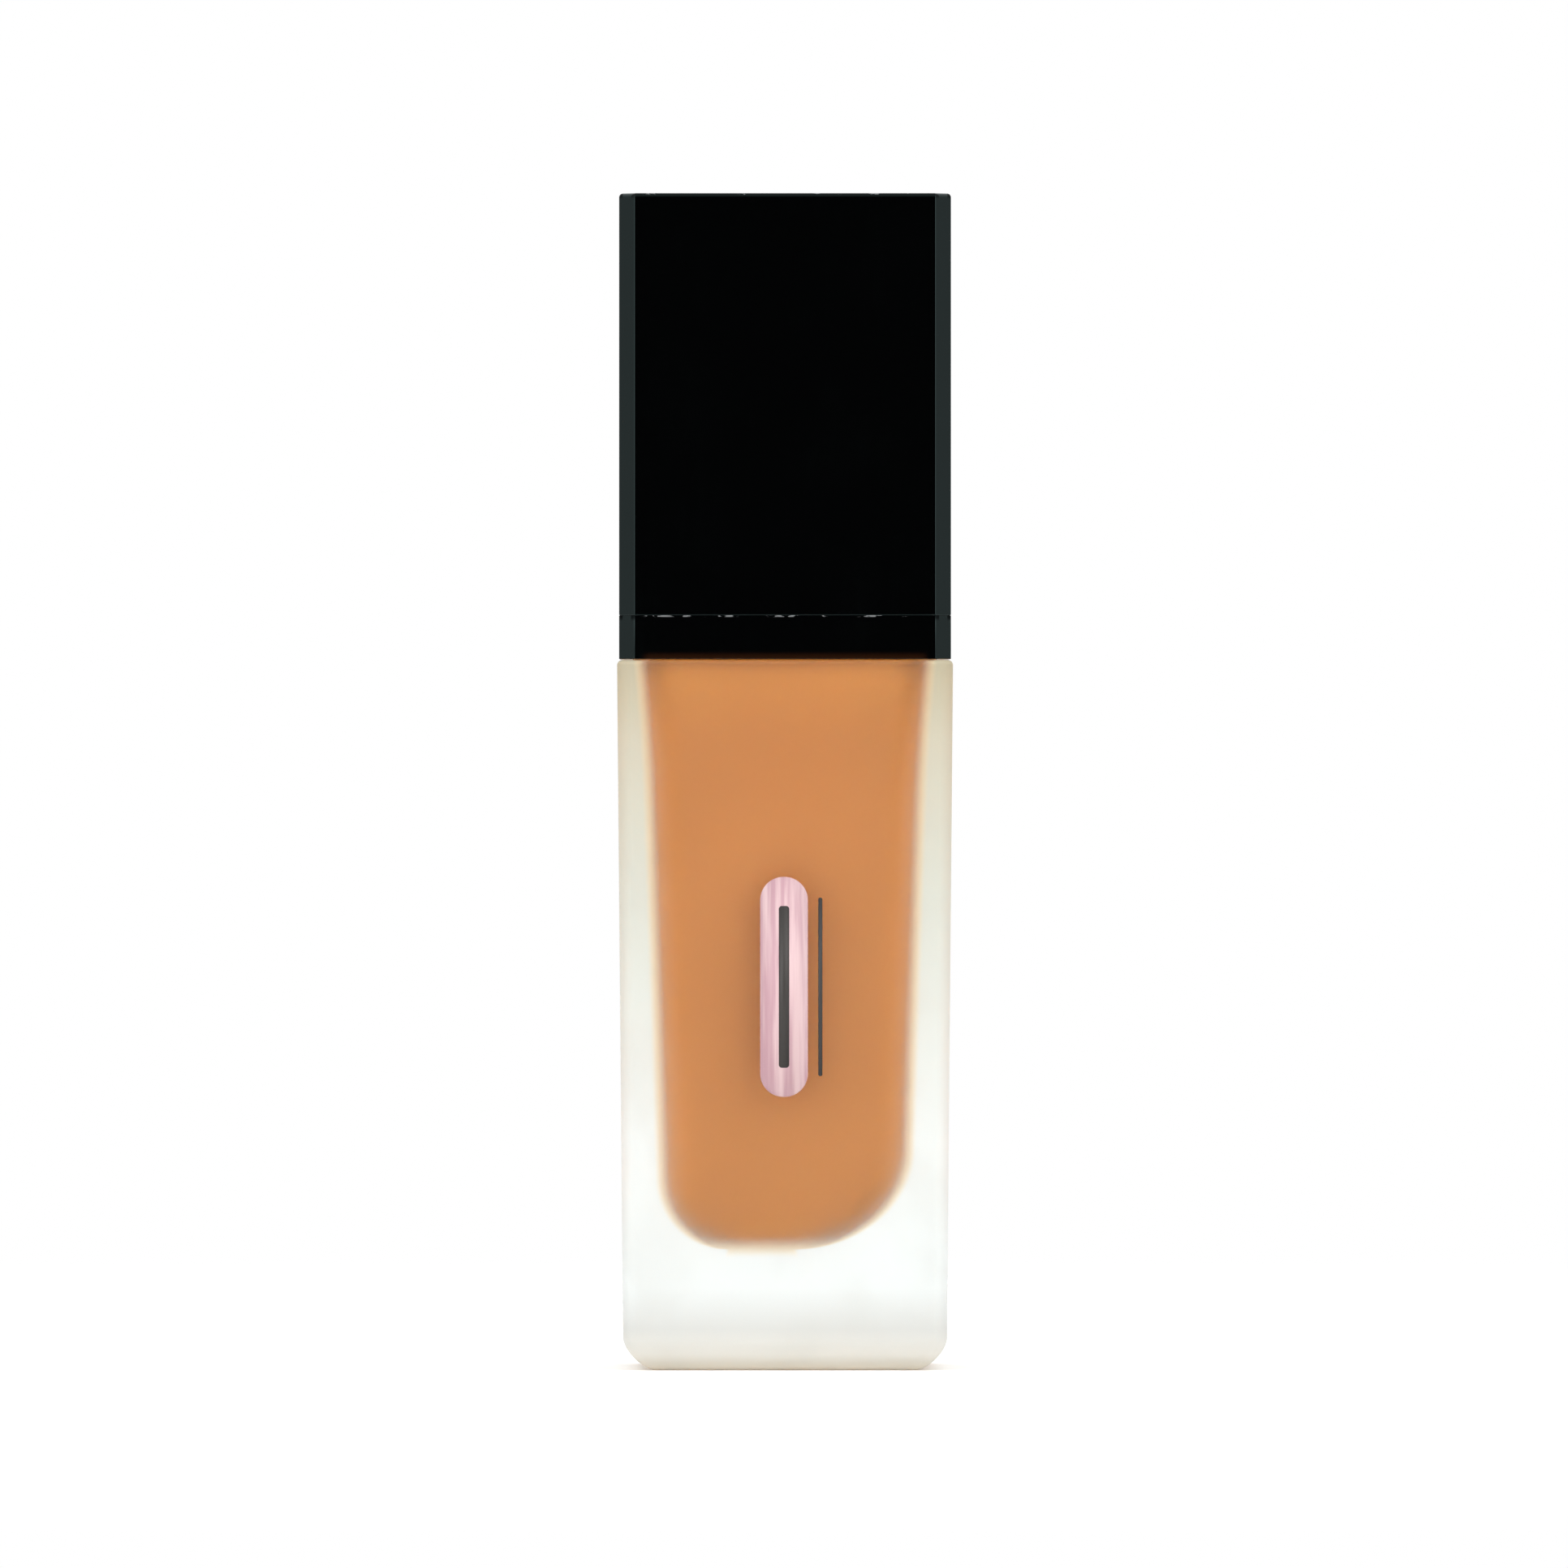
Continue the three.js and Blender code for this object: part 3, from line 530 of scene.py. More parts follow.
def gloss_black(name, edge_height, speck_threshold, corner_margin, painted_glow_height):
    """Polished black plastic with faint smears and fine scratches. One level edge is duller and has small
    lighter specks, partly wear and partly painted highlights, and a painted glow of the liquid's colour
    shows faintly up to a height. Both end at a margin from the corners."""
    look = Surface(name, IOR=1.5, Specular_Tint=(0.61, 0.91, 0.90, 1.0))
    smear = look.noise(0.11, detail=5.0, roughness=0.6)
    scratch = look.noise(1.1, detail=2.0, stretch=(1.0, 1.0, 0.06))
    specks = look.noise(0.62, detail=4.0, roughness=0.7, stretch=(1.0, 1.0, 2.5))
    x, y, z = look.axes()
    away = look.math("ABSOLUTE", look.math("SUBTRACT", z, edge_height * MM))
    across = look.math("MAXIMUM", look.math("ABSOLUTE", x), look.math("ABSOLUTE", y))
    outside = look.math("GREATER_THAN", across, (SQUARE_HALF - 0.35) * MM)
    margin = SQUARE_HALF - corner_margin
    between = look.span(look.lesser(x, y), (margin - 1) * MM, margin * MM, 1, 0)
    dull = look.math("MULTIPLY", outside, look.span(away, 0.2 * MM, 0.6 * MM, 1, 0))
    near = look.math("MULTIPLY", between, look.span(away, 0.05 * MM, 0.2 * MM, 1, 0))
    # Lighter specks along one edge: partly wear, partly painted highlights of the edge.
    specks = look.span(specks, speck_threshold, speck_threshold + 0.05, 0, 1)
    wear_and_highlight_specks = look.math("MULTIPLY", look.math("MULTIPLY", outside, near), specks)
    # Painted glow: the liquid's brown colour painted faintly up to a height, for its light seen on the
    # lower edge.
    painted_liquid_glow = look.span(z, (painted_glow_height - 0.7) * MM, painted_glow_height * MM, 1, 0)
    painted_liquid_glow = look.math("MULTIPLY", painted_liquid_glow, between)
    black = look.mix(painted_liquid_glow, (0.0006, 0.0007, 0.0008), (0.014, 0.005, 0.002))
    look.feed("Base Color", look.mix(wear_and_highlight_specks, black, (0.20, 0.205, 0.21)))
    smeared = look.span(smear, 0.35, 0.7, 0.05, 0.12)
    shine = look.math("ADD", smeared, look.span(scratch, 0.55, 0.75, 0, 0.04))
    look.feed("Roughness", look.math("MAXIMUM", shine, look.math("MULTIPLY", wear_and_highlight_specks, 0.45)))
    look.feed("Specular IOR Level", look.math("MULTIPLY_ADD", dull, -0.38, 0.5))
    look.bump(scratch, 0.0015, 0.35)
    return look.material


def satin_black():
    look = Surface("satin_black", IOR=1.5)
    grain = look.noise(5.0, detail=3.0)
    tone = look.noise(0.2, detail=3.0)
    look.two_tones(tone, (0.009, 0.0095, 0.010), (0.014, 0.0145, 0.015))
    look.feed("Roughness", look.span(grain, 0.3, 0.7, 0.30, 0.42))
    look.bump(grain, 0.006, 0.5)
    return look.material


def natural_plastic():
    look = Surface("natural_plastic", IOR=1.5, Subsurface_Weight=0.35, Subsurface_Scale=0.001)
    cloud = look.noise(0.35, detail=3.0)
    flow = look.noise(2.5, detail=2.0, stretch=(1.0, 1.0, 0.2))
    look.two_tones(cloud, (0.74, 0.74, 0.69), (0.82, 0.82, 0.78))
    look.feed("Roughness", look.span(flow, 0.3, 0.7, 0.34, 0.46))
    look.bump(flow, 0.004, 0.4)
    return look.material


def soft_seal(name, dark, light, roughness):
    look = Surface(name)
    pores = look.noise(6.0, detail=4.0, roughness=0.7)
    look.two_tones(pores, dark, light, 0.35, 0.65)
    look.feed("Roughness", look.span(pores, 0.3, 0.7, roughness - 0.06, roughness + 0.06))
    look.bump(pores, 0.03, 0.6)
    return look.material


def label_film():
    look = Surface("label_film")
    fibre = look.noise(3.0, detail=4.0, stretch=(1.0, 0.3, 1.0))
    look.two_tones(fibre, (0.83, 0.82, 0.79), (0.90, 0.89, 0.87))
    look.feed("Roughness", look.span(fibre, 0.3, 0.7, 0.30, 0.38))
    look.bump(fibre, 0.004, 0.3)
    return look.material


def spring_steel():
    look = Surface("spring_steel", Metallic=1.0)
    drawn = look.noise(7.0, detail=3.0)
    look.two_tones(drawn, (0.50, 0.51, 0.52), (0.66, 0.67, 0.68))
    look.feed("Roughness", look.span(drawn, 0.3, 0.7, 0.2, 0.34))
    look.bump(drawn, 0.003, 0.4)
    return look.material


def glass_ball():
    look = Surface("glass_ball", Base_Color=(0.93, 0.96, 0.95, 1.0), Transmission_Weight=1.0, IOR=1.5)
    haze = look.noise(1.5, detail=3.0)
    look.feed("Roughness", look.span(haze, 0.3, 0.7, 0.02, 0.06))
    look.bump(haze, 0.002, 0.3)
    return look.material


def print_ink(name, dark, light):
    look = Surface(name)
    grain = look.noise(7.0, detail=2.0)
    streaks = look.noise(1.3, detail=3.0, stretch=(1.0, 1.0, 0.05))
    look.two_tones(streaks, dark, light, 0.35, 0.65)
    look.feed("Roughness", look.span(grain, 0.3, 0.7, 0.42, 0.52))
    look.bump(grain, 0.004, 0.4)
    return look.material


FROSTED_GLASS = frosted_glass()
LIQUID = liquid_foundation()
CAP_BLACK = gloss_black("cap_gloss_black", CAP_TOP, 0.60, corner_margin=0.0, painted_glow_height=0.0)
# The collar carries the painted glow of the liquid along its lower edge; the cap has none.
COLLAR_BLACK = gloss_black(
    "collar_gloss_black", COLLAR_PLATE, 0.54, corner_margin=2.0, painted_glow_height=COLLAR_BASE + 0.8
)
SATIN_BLACK = satin_black()
NATURAL = natural_plastic()
SEAL_FOAM = soft_seal("seal_foam", (0.78, 0.76, 0.70), (0.88, 0.87, 0.82), 0.75)
SEAL_RUBBER = soft_seal("seal_rubber", (0.012, 0.012, 0.013), (0.022, 0.022, 0.023), 0.6)
LABEL = label_film()
STEEL = spring_steel()
BALL_GLASS = glass_ball()
PINK_INK = print_ink("pale_pink_ink", (0.48, 0.28, 0.32), (0.66, 0.47, 0.48))
GREY_INK = print_ink("dark_grey_ink", (0.018, 0.015, 0.013), (0.026, 0.022, 0.019))


# ---- Glass bottle --------------------------------------------------------------------------------

def glass_half(z):
    return GLASS_FOOT_HALF + (GLASS_TOP_HALF - GLASS_FOOT_HALF) * z / SHOULDER


def edge_inset(reach, height, fullness=2.0):
    """How far a rounded bottom edge stands in from the wall at a height above its floor. A fullness of 2
    gives a quarter ellipse, and less is nearer to a chamfer."""
    inwards, upwards = reach
    below = max(0.0, 1 - height / upwards)
    return inwards * (1 - (1 - below**fullness) ** (1 / fullness))


def glass_ring(z):
    """The outside of the glass at a height below the shoulder's round."""
    half = glass_half(z)
    left, right, depth = (edge_inset((reach, reach), z, FOOT_FULLNESS) for reach in FOOT_ROUND.values())
    radius = GLASS_CORNER - edge_inset(FOOT_CORNER, z)
    return rounded_ring(-half + left, half - right, -half + depth, half - depth, radius, z)


def cavity_ring(z, grow=0.0):
    """The wall of the cavity at a height, moved outwards by grow."""
    flared = max(0.0, (z - CAVITY_FLARE["from"]) / CAVITY_FLARE["height"])
    above = max(0.0, z - CAVITY_TOP + CAVITY_TOP_ROUND)
    ceiling = CAVITY_TOP_ROUND - math.sqrt(max(0.0, CAVITY_TOP_ROUND**2 - above**2))
    half = CAVITY_HALF + z * CAVITY_TAPER + CAVITY_FLARE["gain"] * flared**2 - ceiling + grow
    left = -half + edge_inset(CAVITY_FOOT["left"], z - CAVITY_FLOOR)
    right = half - edge_inset(CAVITY_FOOT["right"], z - CAVITY_FLOOR)
    deep = half - edge_inset(CAVITY_FOOT["depth"], z - CAVITY_FLOOR)
    radius = min(CAVITY_CORNER, (right - left) / 2.4, deep / 1.2)
    return rounded_ring(left, right, -deep, deep, radius, z)


def cavity_heights():
    """Heights up the cavity, close together where its floor and its ceiling curve."""
    curved = CAVITY_FOOT["right"][1]
    floor = [CAVITY_FLOOR + curved * (1 - out) for out, _ in quarter(22)]
    walls = [24 + i * 2.0 for i in range(22)]
    ceiling = [CAVITY_TOP - CAVITY_TOP_ROUND * (1 - up) for _, up in quarter(8)]
    return floor + walls + ceiling


def bottle_rings():
    """The outside of the bottle from the recess in its underside up to the mouth, then the cavity down."""
    flat = RECESS_RADIUS - 1.2
    rings = [circle(0.5, RECESS_DEPTH), circle(flat - 0.2, RECESS_DEPTH)]
    rings.append(circle(flat, RECESS_DEPTH - 0.03))
    rings += [circle(RECESS_RADIUS - 0.1, 0.06), circle(RECESS_RADIUS + 0.1, 0.0)]
    rings += [glass_ring(FOOT_ROUND["left"] * (1 - out)) for out, _ in quarter(14)]
    rings += [glass_ring(z) for z in range(6, 66, 4)]
    for out, up in quarter(8):
        inset = SHOULDER_ROUND * (1 - out)
        z = SHOULDER - SHOULDER_ROUND * (1 - up)
        rings.append(square_ring(glass_half(z) - inset, GLASS_CORNER - inset * 0.45, z))
    fillet = 0.25
    for out, up in quarter(4):
        z = SHOULDER + fillet * (1 - out)
        rings.append(square_ring(LAND_HALF + fillet * (1 - up), GLASS_CORNER, z))
    edge = 0.3
    for out, up in quarter(4):
        z = LAND_TOP - edge * (1 - up)
        rings.append(square_ring(LAND_HALF - edge * (1 - out), GLASS_CORNER, z))
    foot = 0.5
    for out, up in quarter(4):
        rings.append(circle(NECK_RADIUS + foot * (1 - up), LAND_TOP + foot * (1 - out)))
    lip = 0.5
    rings += threaded_wall(LAND_TOP + foot + 0.1, SEALING_FACE - lip - 0.1, BOTTLE_THREAD)
    for out, up in quarter(5):
        rings.append(circle(NECK_RADIUS - lip * (1 - out), SEALING_FACE - lip * (1 - up)))
    mouth = 0.3
    for out, up in quarter(3):
        rings.append(circle(NECK_BORE + mouth * (1 - up), SEALING_FACE - mouth * (1 - out)))
    brim = 0.4
    for out, up in quarter(4):
        rings.append(circle(NECK_BORE + brim * (1 - out), CAVITY_TOP + brim * (1 - up)))
    rings += [cavity_ring(z) for z in reversed(cavity_heights())]
    return rings


def make_bottle():
    piece = weighted(loft("bottle_glass", bottle_rings(), FROSTED_GLASS))
    place(piece, "bottle", "glass_bottle")


def make_liquid():
    """The liquid meets the glass with no air between them, so it reaches a little way into the wall."""
    meet = 0.04
    tube, socket, barrel = TUBE_OUTER + 0.3, 3.3, 5.1
    tube_foot, socket_foot, barrel_foot = SEALING_FACE - 66.4, SEALING_FACE - 31.8, SEALING_FACE - 23.3
    top = CAVITY_TOP + meet
    rings = [cavity_ring(z, meet) for z in cavity_heights()]
    rings += [circle(barrel, top), circle(barrel, barrel_foot), circle(socket, barrel_foot)]
    rings += [circle(socket, socket_foot), circle(tube, socket_foot), circle(tube, tube_foot)]
    piece = weighted(loft("foundation_liquid", rings, LIQUID))
    place(piece, "bottle", "foundation_fill")


def make_base_label():
    """A blank round sticker in the recess of the underside."""
    profile = [(LABEL_HIGH.x, LABEL_LOW.z), (LABEL_HIGH.x, LABEL_HIGH.z)]
    piece = turned("base_sticker", profile, LABEL, base=0, closes=False)
    place(bevelled(piece, 0.04), "bottle", "base_label")


def make_print(name, x, z, half_width, half_height, radius, proud, material):
    """A thin printed shape with rounded corners, a little proud of the leaning front face."""
    outline = rounded_ring(x - half_width, x + half_width, z - half_height, z + half_height, radius, 0)
    rings = [[(px, -glass_half(pz) - depth, pz) for px, pz, _ in outline] for depth in (-0.02, proud)]
    piece = loft(name, rings, material)
    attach(piece, "bottle")


def make_front_print():
    """A plain pale panel with a bar on it and a bar beside it, in place of a printed mark."""
    x, z = -0.1, 37.0
    make_print("print_panel", x, z, 2.3, 10.6, 2.25, 0.03, PINK_INK)
    make_print("print_wide_bar", x, z, 0.5, 7.8, 0.3, 0.05, GREY_INK)
    make_print("print_narrow_bar", x + 3.5, z, 0.2, 8.6, 0.18, 0.05, GREY_INK)


# ---- Collar and cap ------------------------------------------------------------------------------

def make_collar():
    low, plate, top = COLLAR_BASE, COLLAR_PLATE, COLLAR_TOP
    foot = low + 1.8
    web = foot + 1.1
    bead = top - 1.6
    outer = UPSTAND_OUTER
    underside = plate - COLLAR_WALL
    rings = [
        chamfered_ring(low),
        chamfered_ring(plate),
        chamfered_ring(plate, STEP_INSET),
        chamfered_ring(STEP_TOP, STEP_INSET),
        circle(outer, STEP_TOP),
        circle(outer, bead - 0.5),
        circle(outer + 0.25, bead - 0.12),
        circle(outer + 0.25, bead + 0.12),
        circle(outer, bead + 0.5),
        circle(outer, top - 0.3),
        circle(outer - 0.3, top),
        circle(UPSTAND_INNER, top),
        circle(UPSTAND_INNER, web),
        circle(NECK_RADIUS + 1.25, web),
        circle(NECK_RADIUS + 1.25, foot),
        circle(outer, foot),
        circle(outer, underside),
        chamfered_ring(underside, COLLAR_WALL),
        chamfered_ring(low, COLLAR_WALL),
    ]
    piece = loft("collar", rings, COLLAR_BLACK, closes=True)
    for side in range(4):
        for across in (-5, 5):
            low_corner = (outer - 0.4, across - 0.45, foot + 0.1)
            high_corner = (SQUARE_HALF - COLLAR_WALL + 0.4, across + 0.45, underside + 0.2)
            combine(piece, block(low_corner, high_corner, side * TURN / 4), "UNION")
    place(bevelled(piece, 0.16), "bottle", "shoulder_collar")


def make_cap():
    ceiling = CAP_TOP - CAP_ROOF
    rings = [circle(0.5, ceiling), chamfered_ring(ceiling, CAP_WALL), chamfered_ring(CAP_RIM, CAP_WALL)]
    rings.append(chamfered_ring(CAP_RIM))
    for out, up in quarter(6):
        rings.append(chamfered_ring(CAP_TOP - CAP_TOP_ROUND * (1 - up), CAP_TOP_ROUND * (1 - out)))
    rings.append(circle(0.5, CAP_TOP))
    piece = bevelled(loft("cap_outer", rings, CAP_BLACK), 0.12)
    place(piece, "cap", "cap_shell")


def make_liner():
    """The cup in the cap that grips the collar, with a square flange and a rib to each corner."""
    low, ceiling, top = CAP_BASE + 0.8, CAP_BASE + 37.1, CAP_BASE + 38.3
    flange, flange_top = SQUARE_HALF - CAP_WALL - 0.15, CAP_BASE + 1.6
    rib_end, rib_top = 18.2, CAP_BASE + 34
    lead, shoulder = 0.35, 0.6
    rings = [
        circle(0.5, ceiling),
        circle(LINER_INNER, ceiling),
        circle(LINER_INNER, low + shoulder),
        circle(LINER_INNER + lead, low),
        square_ring(flange, 1.6, low),
        square_ring(flange, 1.6, flange_top),
        circle(LINER_OUTER, flange_top),
        circle(LINER_OUTER, top - shoulder),
        circle(LINER_OUTER - shoulder, top),
        circle(0.5, top),
    ]
    piece = loft("cap_inner", rings, SATIN_BLACK)
    for corner in range(4):
        rib_low = (LINER_OUTER - 0.4, -0.5, flange_top - 0.3)
        rib_high = (rib_end, 0.5, rib_top)
        combine(piece, block(rib_low, rib_high, (corner + 0.5) * TURN / 4), "UNION")
    place(bevelled(piece, 0.1), "cap", "cap_liner")


# ---- Closure and pump, in heights above the sealing face -----------------------------------------

def make_closure():
    """The screw closure: a knurled skirt with a thread inside and a web over the neck."""
    ribs, rib_depth, points_per_rib = 40, 0.3, 6
    count = ribs * points_per_rib
    low, web_low, web_top = SEALING_FACE - 7.7, SEALING_FACE + 2.4, SEALING_FACE + 3.9
    smooth = CLOSURE_OUTER - rib_depth

    def knurled(z):
        ring = []
        for i, (x, y, _) in enumerate(circle(1, z, count)):
            wave = 0.5 - 0.5 * math.cos(i / points_per_rib * TURN)
            radius = smooth + rib_depth * wave**0.7
            ring.append((x * radius, y * radius, z))
        return ring

    rings = [circle(smooth, low, count), knurled(low + 0.25), knurled(web_top - 0.75)]
    for out, up in quarter(4):
        rings.append(circle(smooth - 0.4 * (1 - out), web_top - 0.4 * (1 - up), count))
    rings += [circle(CLOSURE_HOLE + 0.15, web_top, count), circle(CLOSURE_HOLE, web_top - 0.15, count)]
    rings += [circle(CLOSURE_HOLE, web_low, count), circle(CLOSURE_INNER - 0.2, web_low, count)]
    rings += reversed(threaded_wall(low + 0.25, web_low - 0.2, CLOSURE_THREAD, count))
    rings.append(circle(CLOSURE_INNER + 0.25, low, count))
    piece = weighted(loft("closure", rings, SATIN_BLACK, closes=True))
    place(piece, "closure", "screw_closure")


def make_housing():
    """The pump's barrel, with a socket for the dip tube, a flange on the neck and a vent hole."""
    profile = [
        (TUBE_OUTER + 0.1, -31.5), (2.8, -31.5), (3, -31.2), (3, -23), (4.8, -21), (4.8, -2.6),
        (5.5, -1.9), (5.5, 1.1), (9, 1.1), (9, 2.3), (4.45, 2.3), (4.45, -2), (3.9, -2.4), (3.9, -20),
        (1.9, -20), (1.9, -22.8), (0.9, -24), (0.9, -25), (TUBE_OUTER + 0.1, -25),
    ]
    piece = turned("housing", profile, NATURAL)
    vent_radius, vent_height = 0.4, SEALING_FACE - 1.7
    vent = circle(vent_radius, 0, 24)
    rings = [[(reach, y, vent_height - x) for x, y, _ in vent] for reach in (3.6, 7.6)]
    combine(piece, loft("vent", rings, NATURAL), "DIFFERENCE")
    place(bevelled(piece, 0.08), "pump_core", "pump_housing")


def make_tube():
    """The dip tube, its foot cut at a slant."""
    length, slant = 41, 36
    top = SEALING_FACE - 25.1
    foot = top - length
    slope = math.tan(math.radians(slant))

    def slanted(radius):
        return [(x, y, foot + TUBE_OUTER * 0.75 - slope * x) for x, y, _ in circle(radius, 0)]

    rings = [slanted(TUBE_INNER), slanted(TUBE_OUTER), circle(TUBE_OUTER, top), circle(TUBE_INNER, top)]
    piece = loft("tube", rings, NATURAL, closes=True)
    place(bevelled(piece, 0.05), "pump_core", "dip_tube")


def make_cage():
    """The crown over the inlet ball, with crossed slots."""
    profile = [
        (1, -19.9), (3.75, -19.9), (3.75, -18.45), (1.9, -18.45),
        (1.9, -17.7), (1.4, -17.7), (1.4, -18.6), (1, -18.6),
    ]
    piece = turned("cage", profile, NATURAL)
    for turn in (0, TURN / 4):
        low_corner = (-1.6, -0.35, SEALING_FACE - 21)
        high_corner = (1.6, 0.35, SEALING_FACE - 17)
        combine(piece, block(low_corner, high_corner, turn), "DIFFERENCE")
    place(bevelled(piece, 0.04), "pump_core", "ball_cage")


def make_ball():
    """The ball of the inlet valve."""
    radius, middle = 1.5, -22.65
    levels = [(i / 24 - 0.5) * TURN / 2 for i in range(1, 24)]
    profile = [(radius * math.cos(level), middle + radius * math.sin(level)) for level in levels]
    place(turned("ball", profile, BALL_GLASS, closes=False), "inlet_ball", "inlet_ball")


def spring_line(share):
    """A point on the spring's centre line, which has a closed turn at each end, and the way outwards."""
    foot, top, radius, wire, turns = SPRING.values()
    closed = 0.9 / turns
    open_share = min(1.0, max(0.0, (share - closed) / (1 - 2 * closed)))
    ends = (min(share, closed) + max(0.0, share - 1 + closed)) / closed
    end_rise = 2 * wire + 0.06
    middle = top - foot - 2 * wire - 2 * end_rise
    height = SEALING_FACE + foot + wire + ends * end_rise + open_share * middle
    out = Vector((math.cos(share * turns * TURN), math.sin(share * turns * TURN), 0))
    return radius * out + Vector((0, 0, height)), out


def make_spring():
    steps, sides = 240, 14
    rings = []
    for i in range(steps + 1):
        point, out = spring_line(i / steps)
        ahead, _ = spring_line(min(1.0, (i + 0.5) / steps))
        behind, _ = spring_line(max(0.0, (i - 0.5) / steps))
        across = (ahead - behind).normalized().cross(out)
        rings.append([])
        for side in range(sides):
            angle = side / sides * TURN
            rings[-1].append(point + SPRING["wire"] * (out * math.cos(angle) + across * math.sin(angle)))
    piece = loft("spring", rings, STEEL)
    place(piece, "pump_core", "return_spring")
    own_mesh(piece)


def make_rod():
    """The piston rod: a round pin, the poppet, and a spigot with two flats for the liquid to pass."""
    low, high, spigot, flat = -7.6, -6.7, 1.1, 0.65
    lower = [(0.85, -14), (1.15, -13.7), (1.15, low), (2.9, low), (2.9, high - 0.4), (2.2, high)]
    rings = [circle(radius, SEALING_FACE + height) for radius, height in lower]
    for height in (high, 0):
        ring = circle(spigot, SEALING_FACE + height)
        rings.append([(x, max(-flat, min(flat, y)), z) for x, y, z in ring])
    place(bevelled(loft("rod", rings, NATURAL), 0.05), "plunger", "piston_rod")


def make_turned_pieces():
    """The other round pieces: name, CAD node, body, slot, material, edge round and profile."""
    hole = STEM_OUTER + 0.15
    lip = 3.83
    rows = [
        ("gasket", "neck_gasket", "pump_core", "seal_foam", SEAL_FOAM, 0.08,
         [(5.8, 0.1), (8.8, 0.1), (8.8, 1), (5.8, 1)]),
        ("stem_ring", "stem_seal", "pump_core", "seal_rubber", SEAL_RUBBER, 0.08,
         [(STEM_OUTER + 0.05, -1.8), (3.2, -1.8), (3.2, -0.7), (STEM_OUTER + 0.05, -1)]),
        ("guide", "stem_guide", "pump_core", "satin_black", SATIN_BLACK, 0.12,
         [(hole, -0.6), (3.35, -0.6), (3.35, -1.9), (4.3, -1.9), (4.3, 2.4), (6.6, 2.4), (6.6, 3.4),
          (4, 3.4), (4, 6.3), (3.7, 6.6), (hole, 6.6)]),
        ("stem_tube", "stem", "plunger", "natural_plastic", NATURAL, 0.08,
         [(1.2, -3.25), (3, -3.25), (3, -2.1), (STEM_OUTER, -2.1), (STEM_OUTER, 17.7), (2, 18),
          (1.2, 18)]),
        ("pump_piston", "piston", "piston", "natural_plastic", NATURAL, 0.04,
         [(1.5, -6.6), (2.4, -6.6), (2.4, -5.6), (3.2, -5.6), (3.45, -7.1), (lip, -7.1), (3.6, -6.2),
          (3.6, -3.6), (lip, -2.6), (3.45, -2.6), (3.2, -4.9), (2.4, -4.9), (2.4, -4), (1.5, -4)]),
    ]
    for name, node, body, slot, material, edge, profile in rows:
        place(bevelled(turned(name, profile, material), edge), body, node)


# ---- Actuator, in heights above its rim ----------------------------------------------------------

def towards_front(radius, near, far, end_radius):
    """A tapered round bar from near the axis to the front, at the height of the spout."""
    rings = []
    for end, along in ((radius, near), (end_radius, far)):
        rings.append([(x, -along, ACTUATOR_RIM + SPOUT_HEIGHT + y) for x, y, _ in circle(end, 0)])
    return loft("bar", rings, SATIN_BLACK)


def make_actuator():
    """The head: its body and spout are joined, then a remesh and a smoothing round every edge."""
    radius, top, edge = ACTUATOR_RADIUS, ACTUATOR_HEIGHT, 0.8
    dish_radius, dish_depth = 20.0, 0.9
    channel = 0.9
    socket, boss, skirt = STEM_OUTER + 0.1, 3.8, radius - 1.1
    profile = [(0.3, SPOUT_HEIGHT), (channel, SPOUT_HEIGHT), (channel, 9.2), (socket, 9.2), (socket, 2.4)]
    profile += [(boss, 2.4), (boss, 8.6), (skirt, 8.6), (skirt, 0), (radius - 0.2, 0), (radius, 0.2)]
    profile += [(radius - edge * (1 - out), top - edge * (1 - up)) for out, up in quarter(6)]
    for i in range(12):
        across = (radius - edge - 0.1) * (1 - i / 12)
        profile.append((across, top - dish_depth + dish_radius - math.sqrt(dish_radius**2 - across**2)))
    piece = turned("head", profile, SATIN_BLACK, base=ACTUATOR_RIM, closes=False)
    combine(piece, towards_front(2.8, 1.5, SPOUT_REACH, 1.9), "UNION")
    combine(piece, towards_front(channel, 0.2, SPOUT_REACH + 1, channel), "DIFFERENCE")
    remesh = piece.modifiers.new("remesh", "REMESH")
    remesh.mode = "VOXEL"
    remesh.voxel_size = 0.2 * MM
    remesh.use_smooth_shade = True
    smooth = piece.modifiers.new("smooth", "SMOOTH")
    smooth.factor = 0.5
    smooth.iterations = 6
    baked(piece)
    place(piece, "actuator", "actuator_head")


# ---- Stage, light and camera ---------------------------------------------------------------------

FRAME_WIDTH = 152.1 * MM  # what the picture spans at the object
AIM = Vector((-0.1, 0.0, -0.2)) * MM  # from the middle of the object
CAMERA_DISTANCE = 2.4
SENSOR = 36.0


def make_floor():
    """A pale disc that fades out, so that it has no edge."""
    look = Surface("floor", Base_Color=(0.95, 0.95, 0.94, 1.0), Roughness=0.8)
    away = look.node("ShaderNodeVectorMath", operation="LENGTH")
    look.link(look.place(), away.inputs[0])
    look.feed("Alpha", look.span(away.outputs["Value"], 0.10, 0.55, 1, 0))
    new_object("floor", circle(600, 0), [tuple(range(AROUND))], look.material)


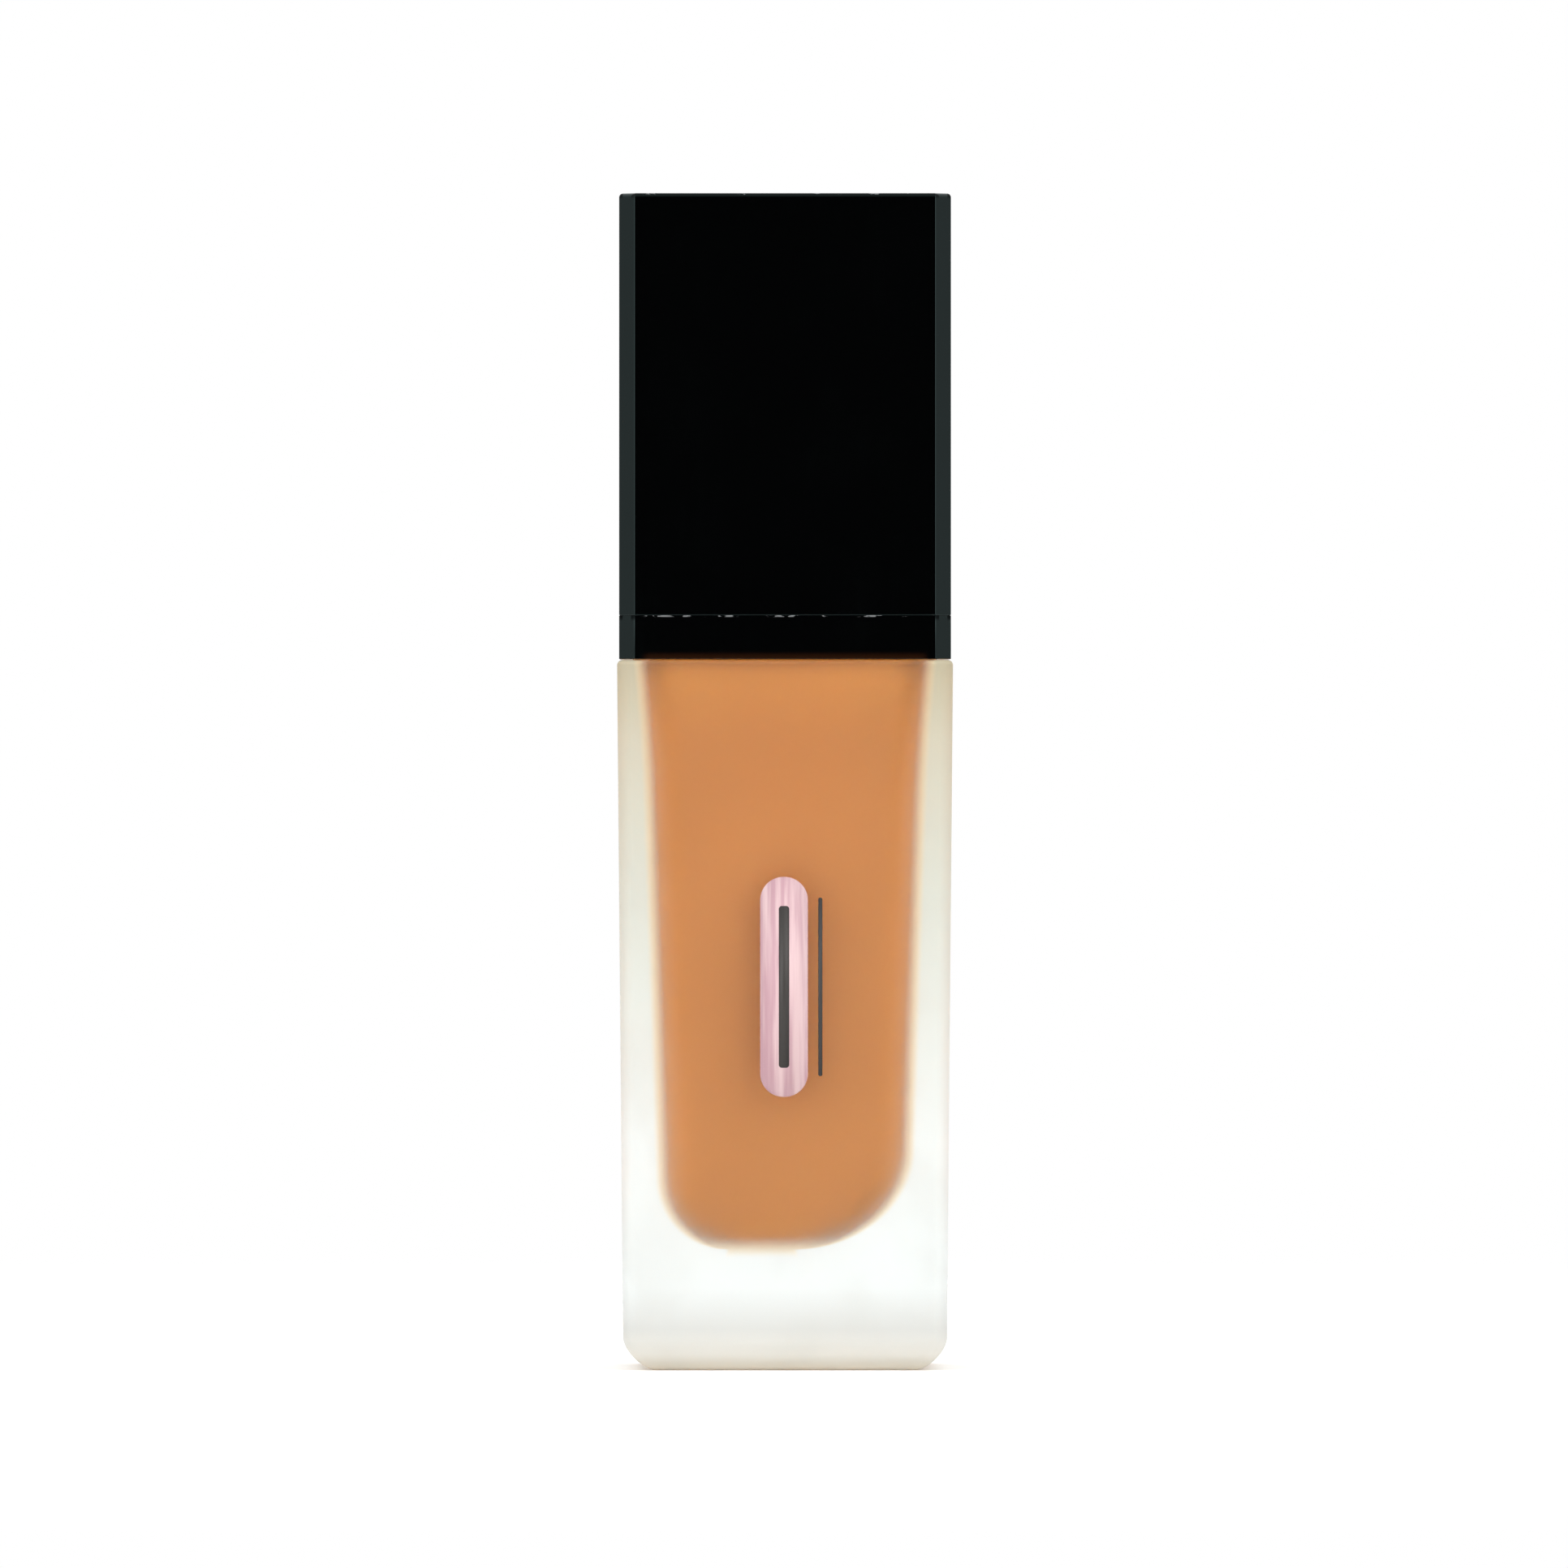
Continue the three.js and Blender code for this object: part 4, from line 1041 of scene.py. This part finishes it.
def make_light():
    """A soft studio: pale all round, a softbox to each side of the camera, and a dark gap between."""
    world = bpy.data.worlds.new("studio")
    bpy.context.scene.world = world
    world.use_nodes = True
    tree = world.node_tree
    nodes, link = tree.nodes, tree.links.new
    background = nodes["Background"]
    ray = nodes.new("ShaderNodeTexCoord").outputs["Generated"]

    def lobe(direction, sharpness, strength):
        """Light from one side, which fades away from its direction."""
        along = nodes.new("ShaderNodeVectorMath")
        along.operation = "DOT_PRODUCT"
        link(ray, along.inputs[0])
        along.inputs[1].default_value = Vector(direction).normalized()
        facing = math_node(tree, "MAXIMUM", along.outputs["Value"], 0.0)
        return math_node(tree, "MULTIPLY", math_node(tree, "POWER", facing, sharpness), strength)

    total = 0.45
    lobes = [
        ((-0.66, -0.62, 0.42), 9, 3.4),
        ((0.66, -0.62, 0.42), 9, 3.4),
        ((0, 0.2, 1), 2, 0.9),
        ((0, 1, 0.05), 2, 0.5),
    ]
    for direction, sharpness, strength in lobes:
        total = math_node(tree, "ADD", total, lobe(direction, sharpness, strength))
    gap = span_node(tree, lobe((0, -1, 0), 1, 1), 0.86, 0.96, 1.0, 0.002)
    total = math_node(tree, "MULTIPLY", total, gap)

    seen = nodes.new("ShaderNodeLightPath").outputs["Is Camera Ray"]
    white = nodes.new("ShaderNodeMix")
    white.data_type = "FLOAT"
    link(seen, white.inputs["Factor"])
    link(total, white.inputs["A"])
    white.inputs["B"].default_value = 1.0
    link(white.outputs["Result"], background.inputs["Strength"])
    background.inputs["Color"].default_value = (1.0, 1.0, 1.0, 1.0)


def make_camera():
    low, high = cad_box
    aim = (low + high) / 2 + AIM
    data = bpy.data.cameras.new("camera")
    data.sensor_width = SENSOR
    data.lens = SENSOR * CAMERA_DISTANCE / FRAME_WIDTH
    data.clip_end = 20
    camera = bpy.data.objects.new("camera", data)
    camera.location = (aim.x, aim.y - CAMERA_DISTANCE, aim.z)
    camera.rotation_euler = (math.pi / 2, 0, 0)
    bpy.context.scene.collection.objects.link(camera)
    bpy.context.scene.camera = camera


make_camera()
make_floor()
make_light()
bpy.context.scene.view_settings.view_transform = "Standard"

make_bottle()
make_liquid()
make_base_label()
make_front_print()
make_collar()
make_cap()
make_liner()
make_closure()
make_housing()
make_tube()
make_cage()
make_ball()
make_spring()
make_rod()
make_turned_pieces()
make_actuator()
